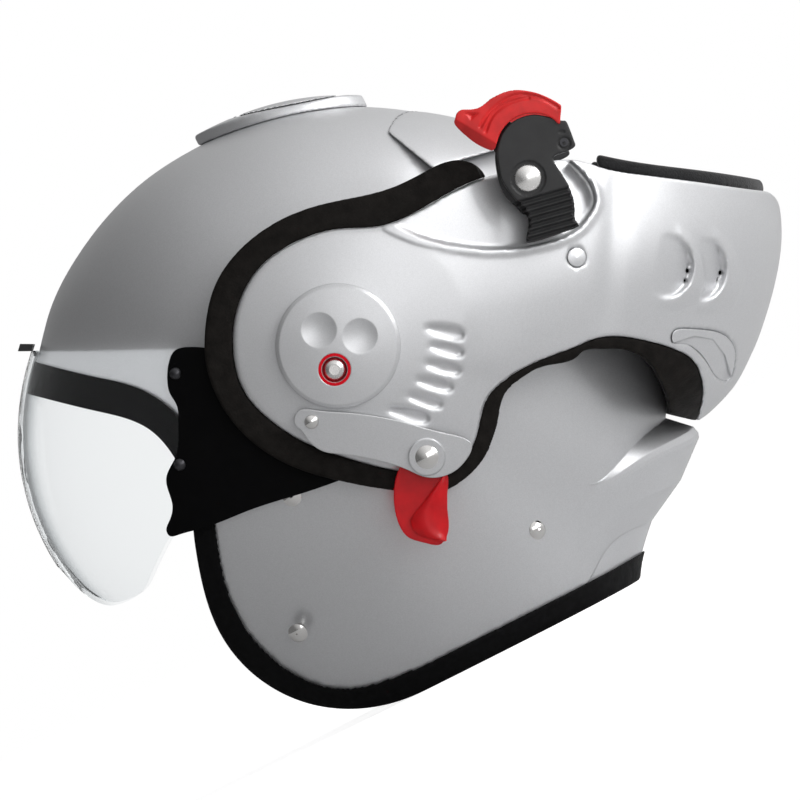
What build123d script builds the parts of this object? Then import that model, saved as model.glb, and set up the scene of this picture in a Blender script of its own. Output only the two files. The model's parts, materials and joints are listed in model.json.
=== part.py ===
from build123d import *
import math
import os

# Modular motorcycle helmet with its chin bar turned back over the crown and its visor down.
# The helmet stands on its rim at z = 0. It faces -X, and the wearer's left side is -Y.
# Every piece is first made about the hinge axis of the chin bar, which lies along Y.

# Driving sizes, in millimetres
crown_radius = 108.0
shell_half_width = 111.5
shell_wall = 4.0
rim_depth = 154.0
hinge_forward = 23.4
visor_reach = 161.5
visor_half_width = 115.6
visor_wall = 2.2
bracket_wall = 2.0
chin_reach = 205.0
chin_half_width = 122.4
chin_wall = 3.5
plate_reach = 100.0
sweep_radius = 162.4
sweep_half_width = 118.0
lip_radius = 152.5
lip_half_width = 118.4
flat_depth = 1.5
running_gap = 0.05
seat_gap = 0.15
body_gap = 0.3

# Interior
foam_depth = 21.0
lining_depth = 8.0
cheek_depth = 17.0
neck_depth = 10.0

# Edge trim
trim_proud = 1.2
trim_slot = 0.2
shell_edge_share = 0.28

# Pivots and their covers
hub_radius = 12.0
hub_base_radius = 24.0
cover_radius = 27.7
cover_height = 3.4
cover_edge = 0.8
dimple_radius = 7.9
dimple_depth = 1.3
screw_ring_radius = 7.2
screw_ring_wall = 1.3
screw_head_radius = 5.6
screw_socket_radius = 2.4
screw_socket_depth = 1.6

# Rivets and studs
rivet_radius = 4.2
rivet_height = 1.7
small_rivet_radius = 2.8
stud_radius = 4.4
stud_neck_radius = 2.6
stud_neck = 4.6

# Side lever and pull ribbon
lever_thick = 2.8
lever_rivet_radius = 3.2
rivet_pin_share = 0.6
lever_boss_radius = 8.1
lever_boss_height = 1.2
lever_stud_radius = 5.2
ribbon_thick = 1.1

# Side latch
latch_inner = 112.2
latch_thick = 12.0
latch_disc_radius = 16.0
latch_dome_radius = 6.1
latch_dome_height = 2.6
latch_pin_radius = 1.8
latch_shank_radius = 3.0
latch_lift = 3.4
latch_ring_gap = 0.6
latch_ring_depth = 0.8
latch_turn = 45.0
grip_ribs = 7
grip_rib_depth = 1.0
grip_rib_width = 1.7
claw_depth = 12.0
release_fork = 5.0
release_thick = 13.0
release_step = 6.6

# Chin bar details
recess_depth = 5.2
recess_slope = 6.5
recess_rim_rise = 0.8
louvre_depth = 1.7
louvre_width = 5.2
scoop_radius = 14.0
scoop_slope = 6.5
scoop_start = 5.0
hood_slope = 5.5
hood_width = 4.5
slot_sagitta = 2.3
hood_rise = 1.6
winglet_depth = 2.4
winglet_proud = 0.2
winglet_gap = 0.35
winglet_slope = 9.0
curtain_thick = 5.0
curtain_rise = 4.2
plug_radius = 4.2
plug_height = 0.6
mesh_thick = 1.0

# Crown vents
vent_rise = 5.2
vent_half_width = 34.0
vent_plane_rise = 2.2
wedge_slope = 6.0
wedge_step = 0.6

# Chin strap
strap_width = 22.0
strap_thick = 1.8
loop_radius = 2.0
ring_half_width = 17.0
ring_half_depth = 10.0
ring_corner = 4.0
ring_bar = 2.8
strap_forward = -3.0
strap_room = 28.0
strap_room_start = 90.0

# Visor tab
tab_half_width = 17.0
tab_rise = 6.0

# Fullness of the rounded cross sections: 2 is an ellipse, more is squarer
shell_power = 2.5
chin_power = 2.7
lip_power = 3.2
sweep_power = 6.0

# Side-view profiles round the hinge axis: degrees from straight back, and radius shares
shell_profile_shares = [
    (-38, 1.389), (-30, 1.366), (-20, 1.324), (-10, 1.273), (0, 1.218), (15, 1.139), (30, 1.069),
    (43, 1.033), (57, 1.005), (75, 0.999), (88, 1.004), (99, 1.020), (111, 1.058), (123, 1.103),
    (135, 1.157), (146, 1.213), (154, 1.248), (162, 1.303), (175, 1.38), (190, 1.463), (205, 1.51),
    (220, 1.556), (235, 1.648), (250, 1.9), (265, 2.15), (278, 2.04), (290, 1.72), (298, 1.537),
    (306, 1.482), (314, 1.43),
]
visor_profile_shares = [
    (155, 0.862), (163, 0.902), (170, 0.934), (180, 0.97), (188, 0.99), (196, 1.0), (205, 1.0),
    (230, 0.97), (260, 0.92), (300, 0.88), (340, 0.85), (20, 0.82), (60, 0.8), (100, 0.79), (130, 0.8),
]
chin_profile_shares = [
    (-38.2, 0.81), (-35, 0.845), (-32, 0.875), (-28, 0.904), (-23, 0.936), (-18, 0.969), (-13, 0.999),
    (-9, 1.014), (-4, 1.02), (5, 1.02), (20, 0.995), (45, 0.95), (90, 0.93), (135, 0.96), (180, 1.0),
    (225, 0.97), (270, 0.9), (295, 0.83), (312, 0.79),
]

# Edge trim of the shell: free edge and upper edge, as shares of the rim depth
trim_edge_shares = [
    ((-0.99, 0.39), (-0.93, 0.48)), ((-0.823, 0.243), (-0.757, 0.311)), ((-0.708, 0.146), (-0.656, 0.227)),
    ((-0.640, 0.088), (-0.584, 0.166)), ((-0.594, 0.029), (-0.532, 0.097)),
    ((-0.571, -0.039), (-0.503, 0.026)),
    ((-0.565, -0.117), (-0.494, -0.078)), ((-0.578, -0.201), (-0.503, -0.182)),
    ((-0.610, -0.281), (-0.536, -0.273)),
    ((-0.642, -0.373), (-0.571, -0.373)), ((-0.668, -0.474), (-0.599, -0.481)),
    ((-0.679, -0.584), (-0.606, -0.584)),
    ((-0.662, -0.695), (-0.588, -0.682)), ((-0.619, -0.792), (-0.549, -0.773)),
    ((-0.561, -0.867), (-0.497, -0.841)),
    ((-0.474, -0.935), (-0.429, -0.890)), ((-0.373, -0.979), (-0.344, -0.916)),
    ((-0.23, -1.0), (-0.221, -0.929)),
]
trim_joint_share = -0.11
rim_end_share = 0.9

# Visor outline, as shares of the visor's reach
visor_edge_shares = [
    (-0.99, -0.17), (-0.97, -0.204), (-0.954, -0.258), (-0.931, -0.31), (-0.909, -0.34), (-0.884, -0.358),
    (-0.845, -0.366), (-0.794, -0.363), (-0.742, -0.328), (-0.691, -0.288), (-0.618, -0.242),
]
visor_front_share = 1.3
visor_root_shares = [(-0.47, -0.12), (-0.44, 0.02), (-0.42, 0.204)]
visor_top_shares = [(-0.79, 0.384), (-1.05, 0.51)]

# Visor bracket outline, as shares of the side plate's reach
bracket_front_shares = [
    (-0.45, 0.225), (-0.608, 0.300), (-0.66, 0.306), (-0.699, 0.277), (-0.741, 0.213), (-0.761, 0.144),
    (-0.757, 0.093), (-0.791, 0.005), (-0.851, -0.103), (-0.906, -0.145), (-0.944, -0.180), (-0.962, -0.236),
    (-0.974, -0.299), (-1.018, -0.356), (-1.050, -0.390), (-1.048, -0.416), (-1.010, -0.430),
    (-0.911, -0.450), (-0.675, -0.474), (-0.446, -0.510), (-0.26, -0.535),
]
bracket_back_shares = [(-0.26, -0.535), (-0.05, -0.42), (0.2, -0.22), (0.24, 0.0), (0.16, 0.2), (0.0, 0.26),
                       (-0.2, 0.28), (-0.45, 0.225)]

# Chin bar: painted side plate, as shares of the side plate's reach
plate_front_shares = [
    (0.916, 0.375), (0.748, 0.385), (0.544, 0.374), (0.404, 0.390), (0.219, 0.466), (0.060, 0.494),
    (-0.122, 0.476), (-0.297, 0.376), (-0.424, 0.192), (-0.462, -0.002), (-0.417, -0.158), (-0.338, -0.297),
    (-0.211, -0.439), (-0.004, -0.618), (0.172, -0.721),
]
plate_heel_shares = [(0.172, -0.721), (0.263, -0.698), (0.346, -0.651), (0.413, -0.575), (0.479, -0.504),
                     (0.566, -0.469), (0.770, -0.458)]
# The rest of the chin bar, as shares of the chin bar's reach
eye_edge_shares = [(0.467, -0.233), (0.538, -0.247), (0.593, -0.283), (0.651, -0.337), (0.672, -0.369),
                   (0.675, -0.405), (0.660, -0.451), (0.627, -0.492)]
chin_rear_shares = [(0.628, -0.498), (0.691, -0.486), (0.738, -0.465), (0.796, -0.423), (0.836, -0.392),
                    (0.885, -0.343), (0.921, -0.300), (0.972, -0.228), (0.992, -0.188), (1.001, -0.148),
                    (0.986, -0.117)]
chin_top_shares = [(0.986, -0.117), (0.935, -0.085), (0.862, -0.036), (0.753, 0.036), (0.682, 0.089),
                   (0.640, 0.128), (0.597, 0.149), (0.447, 0.183)]

# Gasket edge outside the painted plate, as shares of the side plate's reach
gasket_front_shares = [
    (0.920, 0.383), (0.905, 0.440), (0.859, 0.488), (0.788, 0.514), (0.665, 0.516), (0.519, 0.520),
    (0.384, 0.548), (0.209, 0.594), (0.021, 0.613), (-0.195, 0.577), (-0.366, 0.485), (-0.495, 0.327),
    (-0.560, 0.187), (-0.580, 0.058), (-0.565, -0.108), (-0.486, -0.296), (-0.364, -0.447), (-0.261, -0.538),
    (-0.154, -0.622), (-0.052, -0.693), (0.140, -0.785), (0.243, -0.777), (0.340, -0.742), (0.415, -0.690),
    (0.481, -0.619), (0.556, -0.528), (0.641, -0.497), (0.778, -0.491), (0.940, -0.513),
]
gasket_eye_shares = [(0.459, -0.250), (0.506, -0.262), (0.545, -0.282), (0.576, -0.316), (0.587, -0.368),
                     (0.585, -0.420), (0.578, -0.455)]
gasket_back_shares = [(0.67, -0.475), (0.71, -0.38), (0.66, -0.28)]

# Features of the chin bar, as shares of the side plate's reach
recess_shares = [(0.465, 0.364), (0.560, 0.250), (0.681, 0.152), (0.833, 0.061), (1.047, -0.007),
                 (1.166, -0.017),
                 (1.259, 0.020), (1.310, 0.064), (1.324, 0.151), (1.299, 0.248), (1.255, 0.33)]
recess_head_shares = [(1.255, 0.33), (1.20, 0.55), (0.50, 0.55), (0.465, 0.364)]
recess_hinge_share = (0.47, 0.36)
upright = (0.449, 0.893)
louvre_shares = [
    ((0.345, -0.071), (0.517, -0.212)), ((0.333, -0.154), (0.481, -0.283)),
    ((0.268, -0.205), (0.434, -0.348)),
    ((0.206, -0.258), (0.368, -0.399)), ((0.137, -0.298), (0.295, -0.447)),
    ((0.016, -0.302), (0.216, -0.476)),
]
plug_share = (1.121, -0.124)
# Features of the chin bar, as shares of the chin bar's reach
scoop_shares = [(0.712, -0.164), (0.780, -0.207)]
scoop_lean = (0.668, 0.744)
winglet_shares = [(0.652, -0.313), (0.663, -0.299), (0.699, -0.310), (0.735, -0.332), (0.762, -0.360),
                  (0.767, -0.389), (0.748, -0.428), (0.722, -0.447), (0.705, -0.430), (0.700, -0.395),
                  (0.690, -0.355), (0.668, -0.330)]
winglet_facet_shares = [(0.640, -0.318), (0.700, -0.328), (0.733, -0.352), (0.742, -0.395), (0.730, -0.47),
                        (0.66, -0.47)]

# Side lever and ribbon, as shares of the side plate's reach
lever_shares = [
    (-0.321, -0.245), (-0.317, -0.198), (-0.289, -0.180), (-0.219, -0.208), (-0.086, -0.289), (0.095, -0.420),
    (0.249, -0.557), (0.330, -0.662), (0.279, -0.705), (0.174, -0.727), (0.083, -0.691), (0.030, -0.630),
    (-0.081, -0.525), (-0.207, -0.432), (-0.262, -0.394), (-0.306, -0.313),
]
lever_pivot_share = (-0.256, -0.248)
lever_stud_share = (0.130, -0.616)
ribbon_shares = [(0.006, -0.60), (-0.115, -0.829), (-0.104, -0.895), (-0.048, -0.952), (0.013, -0.988),
                 (0.045, -0.974), (0.124, -0.826), (0.176, -0.703)]

# Latch and release lever, as shares of the side plate's reach
latch_pivot_share = (1.083, 0.285)
latch_centre_share = (1.158, 0.385)
latch_nose_shares = [(1.284, 0.486), (1.333, 0.457), (1.345, 0.401), (1.331, 0.314), (1.286, 0.314),
                     (1.228, 0.317), (1.160, 0.26)]
latch_grip_shares = [(1.214, 0.289), (1.230, 0.172), (1.226, 0.105), (1.176, -0.004), (0.966, 0.026),
                     (0.959, 0.056), (1.004, 0.107), (0.969, 0.204), (0.945, 0.286), (0.961, 0.376)]
grip_start_share = (1.226, 0.172)
grip_end_share = (1.180, -0.006)
latch_pin_share = (1.296, 0.355)
release_outer_shares = [(0.928, 0.685), (1.007, 0.665), (1.092, 0.675), (1.206, 0.657), (1.278, 0.603),
                        (1.347, 0.514), (1.340, 0.470)]
release_inner_shares = [(0.958, 0.507), (0.938, 0.566), (0.899, 0.636)]
claw_shares = [(1.165, 0.355), (1.222, 0.365), (1.29, 0.385), (1.29, 0.43), (1.16, 0.42)]

# Places on the shell, as shares of the rim depth
strap_rivet_shares = [(0.275, -0.732), (-0.314, -0.329)]
stud_share = (-0.464, -0.679)

# Rear spoiler of the shell, half of it: width share, tip angle, tip rise as a share of the crown radius
spoiler_stations = [(0.0, 319.6, 0.143), (0.24, 318.8, 0.139), (0.46, 316.0, 0.115), (0.60, 311.0, 0.066),
                    (0.72, 303.0, -0.03)]
spoiler_top_angle = 1.4
spoiler_foot_angle = 15.0
spoiler_depth = 9.0
spoiler_section = [(spoiler_top_angle, 0.0), (1.0, 0.82), (0.3, 0.97), (-0.4, 1.0),
                   (-spoiler_foot_angle / 2, 0.6), (-spoiler_foot_angle, 0.0)]

# Crown wedge, as shares of the side plate's reach
wedge_shares = [(0.622, 0.760), (0.826, 0.90), (1.2, 0.75), (1.30, 0.42), (0.993, 0.471), (0.728, 0.519)]
wedge_crown_angle = 42.0
crown_vent_angles = (58.0, 98.0)
slider_angle = 75.0

# Left strap half, from its anchor down and in to the rings:
# shares of the shell's half width and of the rim depth
strap_shares = [(0.74, -0.45), (0.708, -0.65), (0.662, -0.81), (0.56, -0.91), (0.38, -0.951), (0.2, -0.958)]
strap_turn_share = -0.85

cut_span = 400.0

# Interior outlines, as shares of the rim depth
cavity_share = 1.6
foam_edge_share = 1.15
lining_level = -0.15
cheek_shares = [(-0.42, -0.24), (0.12, -0.24), (0.22, -0.50), (0.14, -0.80), (-0.25, -0.80), (-0.42, -0.66),
                (-0.50, -0.45)]
neck_shares = [(0.45, -0.42), (0.66, -0.24), (0.95, -0.24), (0.95, -0.85), (0.45, -0.83)]

# More places and small sizes of the chin bar and visor
hub_foot_gap = 0.1
tab_angle = 152.8
tab_span = 1.3
leaf_waist_share = 0.62
liner_start_share = 0.42
liner_gap_share = 1.2
recess_wall_share = 1.06
recess_rim_share = 1.08
scoop_drop = 1.0
gasket_set = 0.8
curtain_shares = [(0.68, 0.094), (0.753, 0.038), (0.862, -0.034), (0.935, -0.083), (0.978, -0.113)]
curtain_lean_share = 0.3
screw_floor = 1.2
mesh_rise = 13.0
speck_share = 0.005
bracket_rivet_shares = [(-0.70, 0.215), (-0.865, -0.155)]

# Places on the hinge cover, as shares of its radius
dimple_shares = [(-0.159, 0.361), (0.383, -0.018)]
screw_share = (-0.220, -0.314)

# Release lever's face: arc grooves about the latch's disc, a hollow, and notches along its back
release_groove_radii = [21.5, 25.5]
release_groove = 1.3
release_groove_depth = 0.8
release_groove_angles = (80.0, 150.0)
release_hollow_shares = [(0.945, 0.660), (0.985, 0.645), (0.975, 0.600), (0.948, 0.625)]
release_notches = 6
release_notch_span = (0.17, 0.50)
release_notch_radius = 0.8

# Release lever's tongue in the latch's nose, and the slot for it, as shares of the side plate's reach
tongue_shares = [(1.23, 0.575), (1.33, 0.53), (1.322, 0.35), (1.272, 0.34)]
slot_shares = [(1.16, 0.62), (1.42, 0.60), (1.39, 0.30), (1.25, 0.295)]


def turn_point(radius, degrees):
    """Point of the side view at a distance and an angle round the hinge axis."""
    angle = math.radians(degrees)
    return (radius * math.cos(angle), radius * math.sin(angle))


def at(share, size):
    """Point of the side view from a pair of shares."""
    return (share[0] * size, share[1] * size)


def side(point, y=0.0):
    """Side-view point as a place in space."""
    return Vector(point[0], y, point[1])


def closed_spline(points):
    """Smooth closed outline in the side view."""
    return Wire([Edge.make_spline([side(point) for point in points], periodic=True)])


def run(points):
    """Smooth stretch of an outline, or a straight one where it has two points."""
    if len(points) == 2:
        return Edge.make_line(side(points[0]), side(points[1]))
    return Edge.make_spline([side(point) for point in points])


def prism(wire, start, end):
    """Solid of an outline of the side view between two places along Y."""
    face = Face(wire).moved(Location((0, start, 0)))
    return Solid.extrude(face, Vector(0, end - start, 0))


def through(wire):
    """Solid of an outline through the whole width."""
    return prism(wire, -cut_span, cut_span)


def left_of(wire, inner=0.0, outer=cut_span):
    """Solid of an outline on the wearer's left, between two distances from the middle."""
    return prism(wire, -outer, -inner)


def both(part):
    """A left piece and its mirror image."""
    return part, part.mirror(Plane.XZ)


def narrowing(share, power):
    """How far a rounded cross section has drawn in at a share of its half width."""
    return (1 - share ** power) ** (1 / power)


def dome(profile, size, half_width, power, grow=0.0):
    """Body whose side view is the profile and which narrows round the hinge axis towards its flat sides."""
    half = half_width + grow
    flat = half - flat_depth
    steps = 7
    wires = []
    for number in range(-steps, steps + 1):
        y = flat * math.sin(math.pi / 2 * number / steps)
        scale = narrowing(abs(y) / half, power)
        points = [turn_point((share * size + grow) * scale, degrees) for degrees, share in profile]
        wires.append(closed_spline(points).moved(Location((0, y, 0))))
    return Solid.make_loft(wires)


def shell_body(grow=0.0):
    return dome(shell_profile_shares, crown_radius, shell_half_width, shell_power, grow)


def visor_body(grow=0.0):
    return dome(visor_profile_shares, visor_reach, visor_half_width, shell_power, grow)


def chin_body(grow=0.0):
    return dome(chin_profile_shares, chin_reach, chin_half_width, chin_power, grow)


def turned_body(radius, half_width, power):
    """Body of revolution about the hinge axis."""
    steps = 12
    points = []
    for number in range(steps + 1):
        y = half_width * math.sin(math.pi / 2 * number / steps)
        points.append(Vector(radius * narrowing(y / half_width, power), y, 0))
    curve = Edge.make_spline(points)
    top = Edge.make_line(points[-1], Vector(0, 0, 0))
    base = Edge.make_line(Vector(0, 0, 0), points[0])
    half = Solid.revolve(Face(Wire([curve, top, base])), 360, Axis.Y)
    return half.fuse(half.mirror(Plane.XZ))


def trim_path(share):
    """Line between the free edge and the upper edge of the shell's trim."""
    points = []
    for free, upper in trim_edge_shares:
        points.append(at((free[0] + (upper[0] - free[0]) * share, free[1] + (upper[1] - free[1]) * share),
                         rim_depth))
    return points


def open_region(share):
    """Everything in front of and below a line of the trim."""
    path = trim_path(share)
    end = (rim_end_share * rim_depth, path[-1][1])
    far = 2 * rim_depth
    corners = [(end[0], -far), (-far, -far), (-far, path[0][1])]
    edges = [run(path), run([path[-1], end])]
    ring = [end] + corners + [path[0]]
    for first, second in zip(ring, ring[1:]):
        edges.append(run([first, second]))
    return through(Wire(edges))


def joined(result):
    """One shape, also where a cut leaves several solids."""
    if isinstance(result, (list, ShapeList)):
        return Compound(list(result)) if len(result) != 1 else result[0]
    return result


def less(body, *tools):
    """Body with tools cut away."""
    return joined(body.cut(*tools))


def common(body, *tools):
    """What body and tools share."""
    for tool in tools:
        body = joined(body.intersect(tool))
    return body


def fused(body, *others):
    """Bodies made one."""
    return joined(body.fuse(*others))


def below(level):
    """Everything below a level of the side view."""
    return Pos(0, 0, level - cut_span / 2) * Solid.make_box(
        cut_span, cut_span, cut_span / 2, Plane((-cut_span / 2, -cut_span / 2, 0)))


def seat(body, point):
    """Plane on the left surface of a body, facing outwards."""
    axis = Axis((point[0], -cut_span, point[1]), (0, 1, 0))
    hits = body.find_intersection_points(axis)
    place, normal = min(hits, key=lambda hit: hit[0].Y)
    if normal.Y > 0:
        normal = normal * -1
    return Plane(origin=place, z_dir=normal)


def button(plane, radius, height, shank=0.0, rise=0.0):
    """Domed rivet head on a plane, with an optional shank below it."""
    ball = (radius ** 2 + height ** 2) / (2 * height)
    cap = Solid.make_sphere(ball, Plane((0, 0, height - ball + rise)), -90, 90, 360)
    keep = Solid.make_cylinder(radius, height, Plane((0, 0, rise)))
    head = cap.intersect(keep)
    if isinstance(head, (list, ShapeList)):
        head = head[0]
    if shank:
        head = head.fuse(Solid.make_cylinder(radius / 2, shank, Plane((0, 0, rise - shank))))
    return plane.location * head


# Shell and what is fixed to it

outer_shell = shell_body()
shell_keep_cut = open_region(shell_edge_share)


def profile_radius(profile, size, degrees):
    """Radius of a side-view profile at an angle."""
    low = max((entry for entry in profile if entry[0] <= degrees), key=lambda entry: entry[0])
    high = min((entry for entry in profile if entry[0] > degrees),
               default=(profile[0][0] + 360, profile[0][1]))
    share = (degrees - low[0]) / (high[0] - low[0])
    return size * (low[1] + (high[1] - low[1]) * share)


def spoiler():
    """Lip round the lower back of the shell, fading out along its sides."""
    rows = []
    halves = [(-width, angle, rise) for width, angle, rise in reversed(spoiler_stations[1:])]
    for width, tip_angle, rise in halves + spoiler_stations:
        scale = narrowing(abs(width), shell_power)
        points = []
        for turn, share in spoiler_section:
            skin = profile_radius(shell_profile_shares, crown_radius, tip_angle + turn)
            points.append(turn_point((skin + rise * crown_radius * share) * scale, tip_angle + turn))
        for turn in (-spoiler_foot_angle, spoiler_top_angle):
            skin = profile_radius(shell_profile_shares, crown_radius, tip_angle + turn)
            points.append(turn_point((skin - spoiler_depth) * scale, tip_angle + turn))
        rows.append(polygon(points).moved(Location((0, width * shell_half_width, 0))))
    return Solid.make_loft(rows)


def make_shell():
    """Outer shell, open at the face and at the neck."""
    full = fused(outer_shell, spoiler())
    return less(full, shell_body(-shell_wall), shell_keep_cut)


def make_trim():
    """Rubber edge of the shell, cut into a brow piece and a rim piece that both grip the shell's edge."""
    wall = less(shell_body(trim_proud), shell_body(-shell_wall - trim_proud))
    band = less(common(wall, open_region(1.0)), open_region(0.0))
    slot = less(shell_body(trim_slot), shell_body(-shell_wall - trim_slot), shell_keep_cut)
    band = less(band, slot)
    joint = trim_joint_share * rim_depth
    brow = less(band, below(joint + seat_gap))
    rim = common(band, below(joint - seat_gap))
    return brow, rim


def make_foam():
    """Foam liner between the shell and the lining."""
    foam = less(shell_body(-shell_wall - body_gap), shell_body(-shell_wall - foam_depth))
    return less(foam, open_region(foam_edge_share))


def slider_plane():
    """Plane that the crown vent's slider runs on."""
    angle = math.radians(slider_angle)
    normal = Vector(math.cos(angle), 0, math.sin(angle))
    return Plane(origin=normal * (crown_radius + vent_plane_rise), x_dir=(0, 1, 0), z_dir=normal)


def post(half_length, half_width, middle):
    """Tall oval seen from above, over the crown."""
    plane = Plane((middle, 0, 0))
    oval = Edge.make_ellipse(half_length, half_width, plane)
    if half_length < half_width:
        plane = Plane((middle, 0, 0), x_dir=(0, 1, 0))
        oval = Edge.make_ellipse(half_width, half_length, plane)
    return Solid.extrude(Face(Wire([oval])), Vector(0, 0, cut_span))


def make_crown_vent():
    """Raised vent on the crown: a base, and a slider on its flat top."""
    front = turn_point(crown_radius + vent_rise, crown_vent_angles[1])[0]
    back = turn_point(crown_radius + vent_rise, crown_vent_angles[0])[0]
    patch = post((back - front) / 2, vent_half_width, (front + back) / 2)
    hump = less(common(shell_body(vent_rise), patch), shell_body(seat_gap))
    plane = slider_plane()
    above = plane.location * Solid.make_box(cut_span, cut_span, cut_span,
                                            Plane((-cut_span / 2, -cut_span / 2, 0)))
    gap = plane.z_dir * body_gap
    base = less(hump, above)
    slider = common(hump, above.moved(Location((gap.X, gap.Y, gap.Z))))
    return base, slider


def make_wedge():
    """Raised air outlet at the back of the crown: two lobes that rise towards the back."""
    tip = seat(outer_shell, at(wedge_shares[0], plate_reach)).origin
    crown = turn_point(profile_radius(shell_profile_shares, crown_radius, wedge_crown_angle),
                       wedge_crown_angle)
    crease = side(crown) - tip
    risen = shell_body(seat_gap + wedge_step).rotate(Axis((tip.X, tip.Y, tip.Z),
                                                          (crease.X, crease.Y, crease.Z)),
                                                     -wedge_slope)
    lobe = common(risen, left_of(polygon([at(share, plate_reach) for share in wedge_shares])))
    lobe = largest(less(lobe, shell_body(seat_gap)))
    return fused(*both(lobe))


def make_lining():
    """Soft lining of the crown, inside the foam and above the cheeks."""
    depth = shell_wall + foam_depth + body_gap
    wall = less(shell_body(-depth), shell_body(-depth - lining_depth))
    keep = less(wall, open_region(cavity_share))
    return less(keep, below(lining_level * rim_depth))


def make_cheek_pads():
    """Soft pads inside the lower sides."""
    depth = shell_wall + foam_depth + body_gap
    region = left_of(closed_spline([at(share, rim_depth) for share in cheek_shares]))
    ring = common(region, shell_body(-depth))
    room = Solid.make_box(strap_width + 2 * body_gap, strap_room, rim_depth,
                          Plane((strap_forward - strap_width / 2 - body_gap, -strap_room_start, -rim_depth)))
    pad = less(ring, shell_body(-depth - cheek_depth), room)
    return both(common(pad, below(lining_level * rim_depth - body_gap)))


def make_neck_roll():
    """Soft roll round the lower back of the head opening."""
    depth = shell_wall + foam_depth + body_gap
    wall = less(shell_body(-depth), shell_body(-depth - neck_depth))
    region = through(closed_spline([at(share, rim_depth) for share in neck_shares]))
    return common(wall, region)


def make_hub():
    """Hinge hub on the flat side of the shell: a broad foot and a shaft through bracket and plate."""
    flat = shell_half_width - flat_depth
    foot_top = visor_half_width - flat_depth + seat_gap - hub_foot_gap
    top = chin_half_width - flat_depth - seat_gap
    foot = prism_circle(hub_base_radius, flat + seat_gap, foot_top)
    shaft = prism_circle(hub_radius, foot_top, top)
    return fused(foot, shaft)


def prism_circle(radius, inner, outer, centre=(0.0, 0.0)):
    """Round bar along Y on the wearer's left, between two distances from the middle."""
    plane = Plane(origin=(centre[0], -inner, centre[1]), x_dir=(1, 0, 0), z_dir=(0, -1, 0))
    return Solid.make_cylinder(radius, outer - inner, plane)


def make_lens():
    """Clear visor lens."""
    wall = less(visor_body(), visor_body(-visor_wall))
    edge = [at(share, visor_reach) for share in visor_edge_shares]
    root = [at(share, visor_reach) for share in visor_root_shares]
    top = [at(share, visor_reach) for share in visor_top_shares]
    far = (-visor_front_share * visor_reach, edge[0][1])
    ring = Wire([run(edge), run([edge[-1], root[0]]), run(root), run([root[-1], top[0]]), run(top),
                 run([top[-1], (far[0], top[-1][1])]), run([(far[0], top[-1][1]), far]), run([far, edge[0]])])
    return common(wall, through(ring))


def make_tab():
    """Finger tab on the visor's upper edge."""
    wall = less(visor_body(tab_rise), visor_body(seat_gap))
    low = turn_point(visor_reach, tab_angle + tab_span)
    high = turn_point(visor_reach, tab_angle)
    strip = through(Wire([run([(0, 0), low]), run([low, high]), run([high, (0, 0)])]))
    middle = Solid.make_box(cut_span, 2 * tab_half_width, cut_span,
                            Plane((-cut_span, -tab_half_width, -cut_span / 2)))
    return common(wall, strip, middle)


def make_bracket():
    """Black plate that carries one side of the visor on the hinge hub."""
    wall = less(visor_body(seat_gap + bracket_wall), visor_body(seat_gap))
    front = [at(share, plate_reach) for share in bracket_front_shares]
    back = [at(share, plate_reach) for share in bracket_back_shares]
    plate = common(wall, left_of(Wire([run(front), run(back)])))
    hole = prism_circle(hub_radius + running_gap, 0, cut_span)
    return less(plate, hole)


def plate_outline():
    """Side view of the painted chin bar."""
    return Wire([run([at(share, plate_reach) for share in plate_front_shares]),
                 run([at(share, plate_reach) for share in plate_heel_shares] + eye_start()),
                 run([at(share, chin_reach) for share in eye_edge_shares]),
                 run([at(eye_edge_shares[-1], chin_reach), at(chin_rear_shares[0], chin_reach)]),
                 run([at(share, chin_reach) for share in chin_rear_shares]),
                 run([at(share, chin_reach) for share in chin_top_shares]),
                 run([at(chin_top_shares[-1], chin_reach), at(plate_front_shares[0], plate_reach)])])


def eye_start():
    """Where the eye-port edge of the chin bar begins."""
    return [at(eye_edge_shares[0], chin_reach)]


def gasket_outline():
    """Side view of the chin bar with its gasket."""
    edge = [at(share, plate_reach) for share in gasket_front_shares]
    edge += [at(share, chin_reach) for share in gasket_eye_shares]
    back = [at(chin_rear_shares[0], chin_reach)] + [at(share, chin_reach) for share in gasket_back_shares]
    ring = [edge[-1]] + back + [at(plug_share, plate_reach), edge[0]]
    return Wire([run(edge)] + [run([first, second]) for first, second in zip(ring, ring[1:])])


def recess_outline(scale_share=1.0):
    """Side view of the hollow that the latch lies in, or of a wider copy of it."""
    middle = at(latch_pivot_share, plate_reach)
    points = []
    for share in recess_shares:
        point = at(share, plate_reach)
        points.append((middle[0] + (point[0] - middle[0]) * scale_share,
                       middle[1] + (point[1] - middle[1]) * scale_share))
    head = [points[-1]]
    for share in recess_head_shares[1:-1]:
        head.append(at(share, plate_reach))
    head.append(points[0])
    return Wire([run(points)] + [run([first, second]) for first, second in zip(head, head[1:])])


def tipped(body, point, lean, degrees):
    """Left side of a body turned inwards behind a line through a point of its surface, leaning as given."""
    start = seat(body, point).origin
    return body.rotate(Axis((start.X, start.Y, start.Z), (lean[0], 0, lean[1])), degrees)


def leaf(start, end, width):
    """Pointed leaf between two places: sharp at the start and round at the end."""
    along = Vector(end[0] - start[0], 0, end[1] - start[1])
    across = Vector(-along.Z, 0, along.X).normalized() * (width / 2)
    first = side(start)
    waist = first + along * leaf_waist_share
    upper = Edge.make_spline([first, waist + across, side(end)], tangents=[along, -across])
    lower = Edge.make_spline([first, waist - across, side(end)], tangents=[along, across])
    return Wire([upper, lower])


chin_skin = chin_body()


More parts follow.
